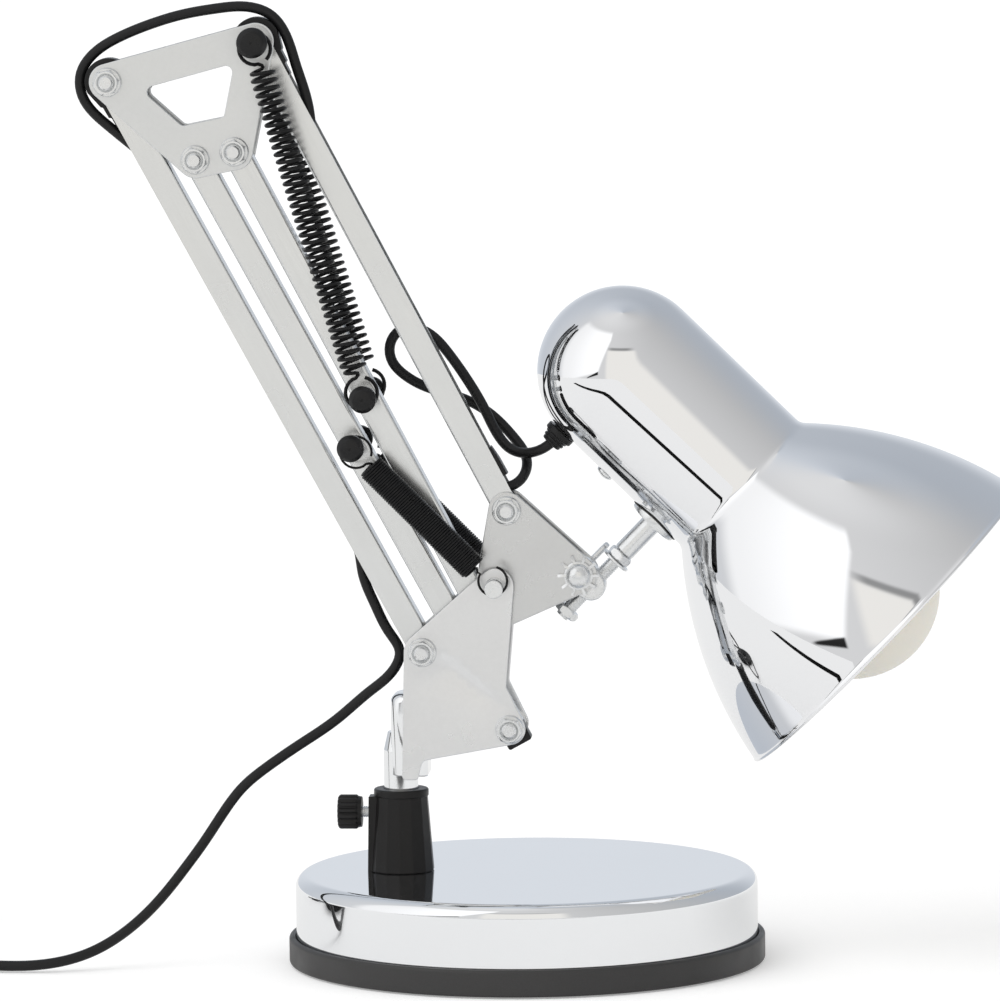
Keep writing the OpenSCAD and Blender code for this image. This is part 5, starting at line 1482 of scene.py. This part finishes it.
def oblong(name, low, high, height, material):
    """A flat oblong at one height, in metres."""
    (left, near), (right, far) = low, high
    corners = [(left, near, height), (right, near, height), (right, far, height), (left, far, height)]
    mesh = bpy.data.meshes.new(name)
    mesh.from_pydata(corners, [], [(0, 1, 2, 3)])
    return staged(name, mesh, material)


def mirror_only(thing):
    """Hides a piece of the studio from all but mirror rays."""
    thing.visible_camera = False
    thing.visible_diffuse = False
    thing.visible_shadow = False
    thing.visible_transmission = False


def looked_at(nodes, link):
    """One where a camera, mirror or glass ray looks, and zero for the light that falls on things."""
    rays = nodes.new("ShaderNodeLightPath").outputs
    total = rays["Is Camera Ray"]
    for ray in ("Is Glossy Ray", "Is Transmission Ray"):
        more = nodes.new("ShaderNodeMath")
        more.operation = "MAXIMUM"
        link(total, more.inputs[0])
        link(rays[ray], more.inputs[1])
        total = more.outputs[0]
    return total


def pale_floor():
    """Matt floor with a glow for the eye alone, so that it is white and still takes a shadow."""
    material = bpy.data.materials.new("pale_floor")
    material.use_nodes = True
    nodes, link = material.node_tree.nodes, material.node_tree.links.new
    shader = nodes["Principled BSDF"]
    shader.inputs["Base Color"].default_value = (floor_colour, floor_colour, floor_colour, 1)
    shader.inputs["Roughness"].default_value = 1
    shader.inputs["Specular IOR Level"].default_value = 0
    shader.inputs["Emission Color"].default_value = (1, 1, 1, 1)
    scaled = nodes.new("ShaderNodeMath")
    scaled.operation = "MULTIPLY"
    scaled.inputs[1].default_value = floor_glow
    link(looked_at(nodes, link), scaled.inputs[0])
    link(scaled.outputs[0], shader.inputs["Emission Strength"])
    return material


def plain_shader(name, kind, colour):
    """A material of one bare shader, an Emission or a Transparent one, in one colour."""
    material = bpy.data.materials.new(name)
    material.use_nodes = True
    nodes, link = material.node_tree.nodes, material.node_tree.links.new
    nodes.remove(nodes["Principled BSDF"])
    shader = nodes.new(kind)
    shader.inputs["Color"].default_value = (*colour, 1)
    link(shader.outputs[0], nodes["Material Output"].inputs["Surface"])
    return material


def ramp(value, low, high):
    """Smooth rise from 0 at low to 1 at high."""
    part = np.clip((value - low) / (high - low), 0, 1)
    return part * part * (3 - 2 * part)


def band(value, start, end):
    """One between two edges and zero past them: it rises over the first span and falls over the second."""
    return ramp(value, *start) * (1 - ramp(value, *end))


def laid(light, mask, colour):
    """A colour laid over the light, as far as its mask goes."""
    return light + mask[..., None] * (colour - light)


def tent_light(turn, rise):
    """Brightness and tint of the tent by direction in degrees, turn from the camera's side, negative to the
    left. Grey cloth, paler overhead and low behind; then the cream card, its dark top edge, the lit panel
    and a dark wedge under it are laid over each other. The panel's right side and foot, and the wedge, are
    slanted lines."""
    cloth = cloth_level + cloth_sway * np.cos(np.radians(turn - cloth_turn))
    cloth = cloth + overhead * ramp(rise, *overhead_rise)
    cloth = cloth + behind * (1 - ramp(rise, *behind_rise)) * ramp(np.abs(turn), *behind_turn)
    light = cloth[..., None] + ramp(np.abs(turn), *tint_turn)[..., None] * cloth_tint
    card = band(turn, card_left, card_right) * (1 - ramp(rise, *card_top))
    light = laid(light, card, card_colour)
    off_edge = np.abs(rise - card_edge_rise)
    edge = band(turn, card_edge_left, card_edge_right) * (1 - ramp(off_edge, *card_edge_fade))
    light = light * (1 - card_edge_dark * edge[..., None])
    panel_right = np.clip(-30 + 0.3 * (rise - 3), -31, -17)
    panel_foot = -12 + 0.25 * (turn + 90)
    panel = ramp(turn, *panel_left) * (1 - ramp(turn - panel_right, -2.5, 1))
    panel = panel * ramp(rise - panel_foot, -1, 3) * (1 - ramp(rise, *panel_top))
    light = laid(light, panel, (panel_level + panel_gain * ramp(turn, *panel_turn))[..., None])
    off_wedge = np.abs(rise - 0.4 * (turn + 38)) - 0.1 * (turn + 47)
    wedge = band(turn, wedge_left, wedge_right) * (1 - ramp(off_wedge, *wedge_fade))
    return light * (1 - wedge_dark * wedge[..., None])


def tent():
    """Part of a ball about the lamp, a ring of points for each half degree of rise, with its light in a
    colour attribute."""
    turn, rise = np.meshgrid(np.linspace(-180, 180, 721), np.linspace(-6, 90, 193))
    a, b = np.radians(turn), np.radians(rise)
    way = np.stack([np.cos(b) * np.sin(a), -np.cos(b) * np.cos(a), np.sin(b)], axis=-1)
    points, faces = skin(way * tent_r + tent_middle, around=False)
    mesh = bpy.data.meshes.new("tent")
    mesh.from_pydata(points.tolist(), [], faces)
    shine = np.concatenate([tent_light(turn, rise), np.ones(turn.shape + (1,))], axis=-1)
    mesh.color_attributes.new("shine", "FLOAT_COLOR", "POINT").data.foreach_set("color", shine.ravel())
    material = plain_shader("tent", "ShaderNodeEmission", (1, 1, 1))
    nodes, link = material.node_tree.nodes, material.node_tree.links.new
    stored = nodes.new("ShaderNodeAttribute")
    stored.attribute_name = "shine"
    link(stored.outputs["Color"], nodes["Emission"].inputs["Color"])
    return staged("tent", mesh, material)


oblong("floor", (-floor_half, -floor_half), (floor_half, floor_half), floor_z, pale_floor())
mirror_only(tent())
smoked_film = plain_shader("smoked_film", "ShaderNodeBsdfTransparent", (0.84, 0.84, 0.835))
dark_edge = plain_shader("dark_edge", "ShaderNodeEmission", (0.008, 0.008, 0.008))
mirror_only(oblong("table_film", (-film_half, -film_half), (film_half, film_half), film_z, smoked_film))
mirror_only(oblong("table_edge", (-0.95, -0.50), (0.3, -0.42), strip_z, dark_edge))
sky = bpy.data.worlds.new("sky")
scene.world = sky
sky.use_nodes = True
nodes, link = sky.node_tree.nodes, sky.node_tree.links.new
level = nodes.new("ShaderNodeMapRange")
level.inputs["To Min"].default_value = sky_falling
level.inputs["To Max"].default_value = sky_seen
link(looked_at(nodes, link), level.inputs["Value"])
nodes["Background"].inputs["Color"].default_value = (1, 1, 1, 1)
link(level.outputs["Result"], nodes["Background"].inputs["Strength"])
key = bpy.data.lights.new("key", "SUN")
key.energy = key_strength
key.angle = np.radians(key_spread)
key_light = bpy.data.objects.new("key", key)
scene.collection.objects.link(key_light)
key_light.rotation_mode = "QUATERNION"
key_light.rotation_quaternion = Vector(key_from).to_track_quat("Z", "Y")
key_light.visible_glossy = False

# Camera: a long lens, a little above the shade and a little to the right of square on.
# It is rolled by a trace.
camera_lens, camera_sensor = 288, 36
camera_place = (0.1927, -2.7557, 0.4573)
camera_yaw, camera_pitch, camera_roll = np.radians([4.1646, 6.1287, -0.6])
right = np.array([np.cos(camera_yaw), np.sin(camera_yaw), 0])
ahead = np.array([-np.sin(camera_yaw) * np.cos(camera_pitch), np.cos(camera_yaw) * np.cos(camera_pitch),
                  -np.sin(camera_pitch)])
above = np.cross(right, ahead)
rolled_right = np.cos(camera_roll) * right + np.sin(camera_roll) * above
rolled_above = np.cos(camera_roll) * above - np.sin(camera_roll) * right
view = np.eye(4)
view[:3] = np.column_stack([rolled_right, rolled_above, -ahead, camera_place])
camera = bpy.data.cameras.new("camera")
camera.lens = camera_lens
camera.sensor_width = camera_sensor
eye_piece = bpy.data.objects.new("camera", camera)
eye_piece.matrix_world = Matrix(view.tolist())
scene.collection.objects.link(eye_piece)
scene.camera = eye_piece
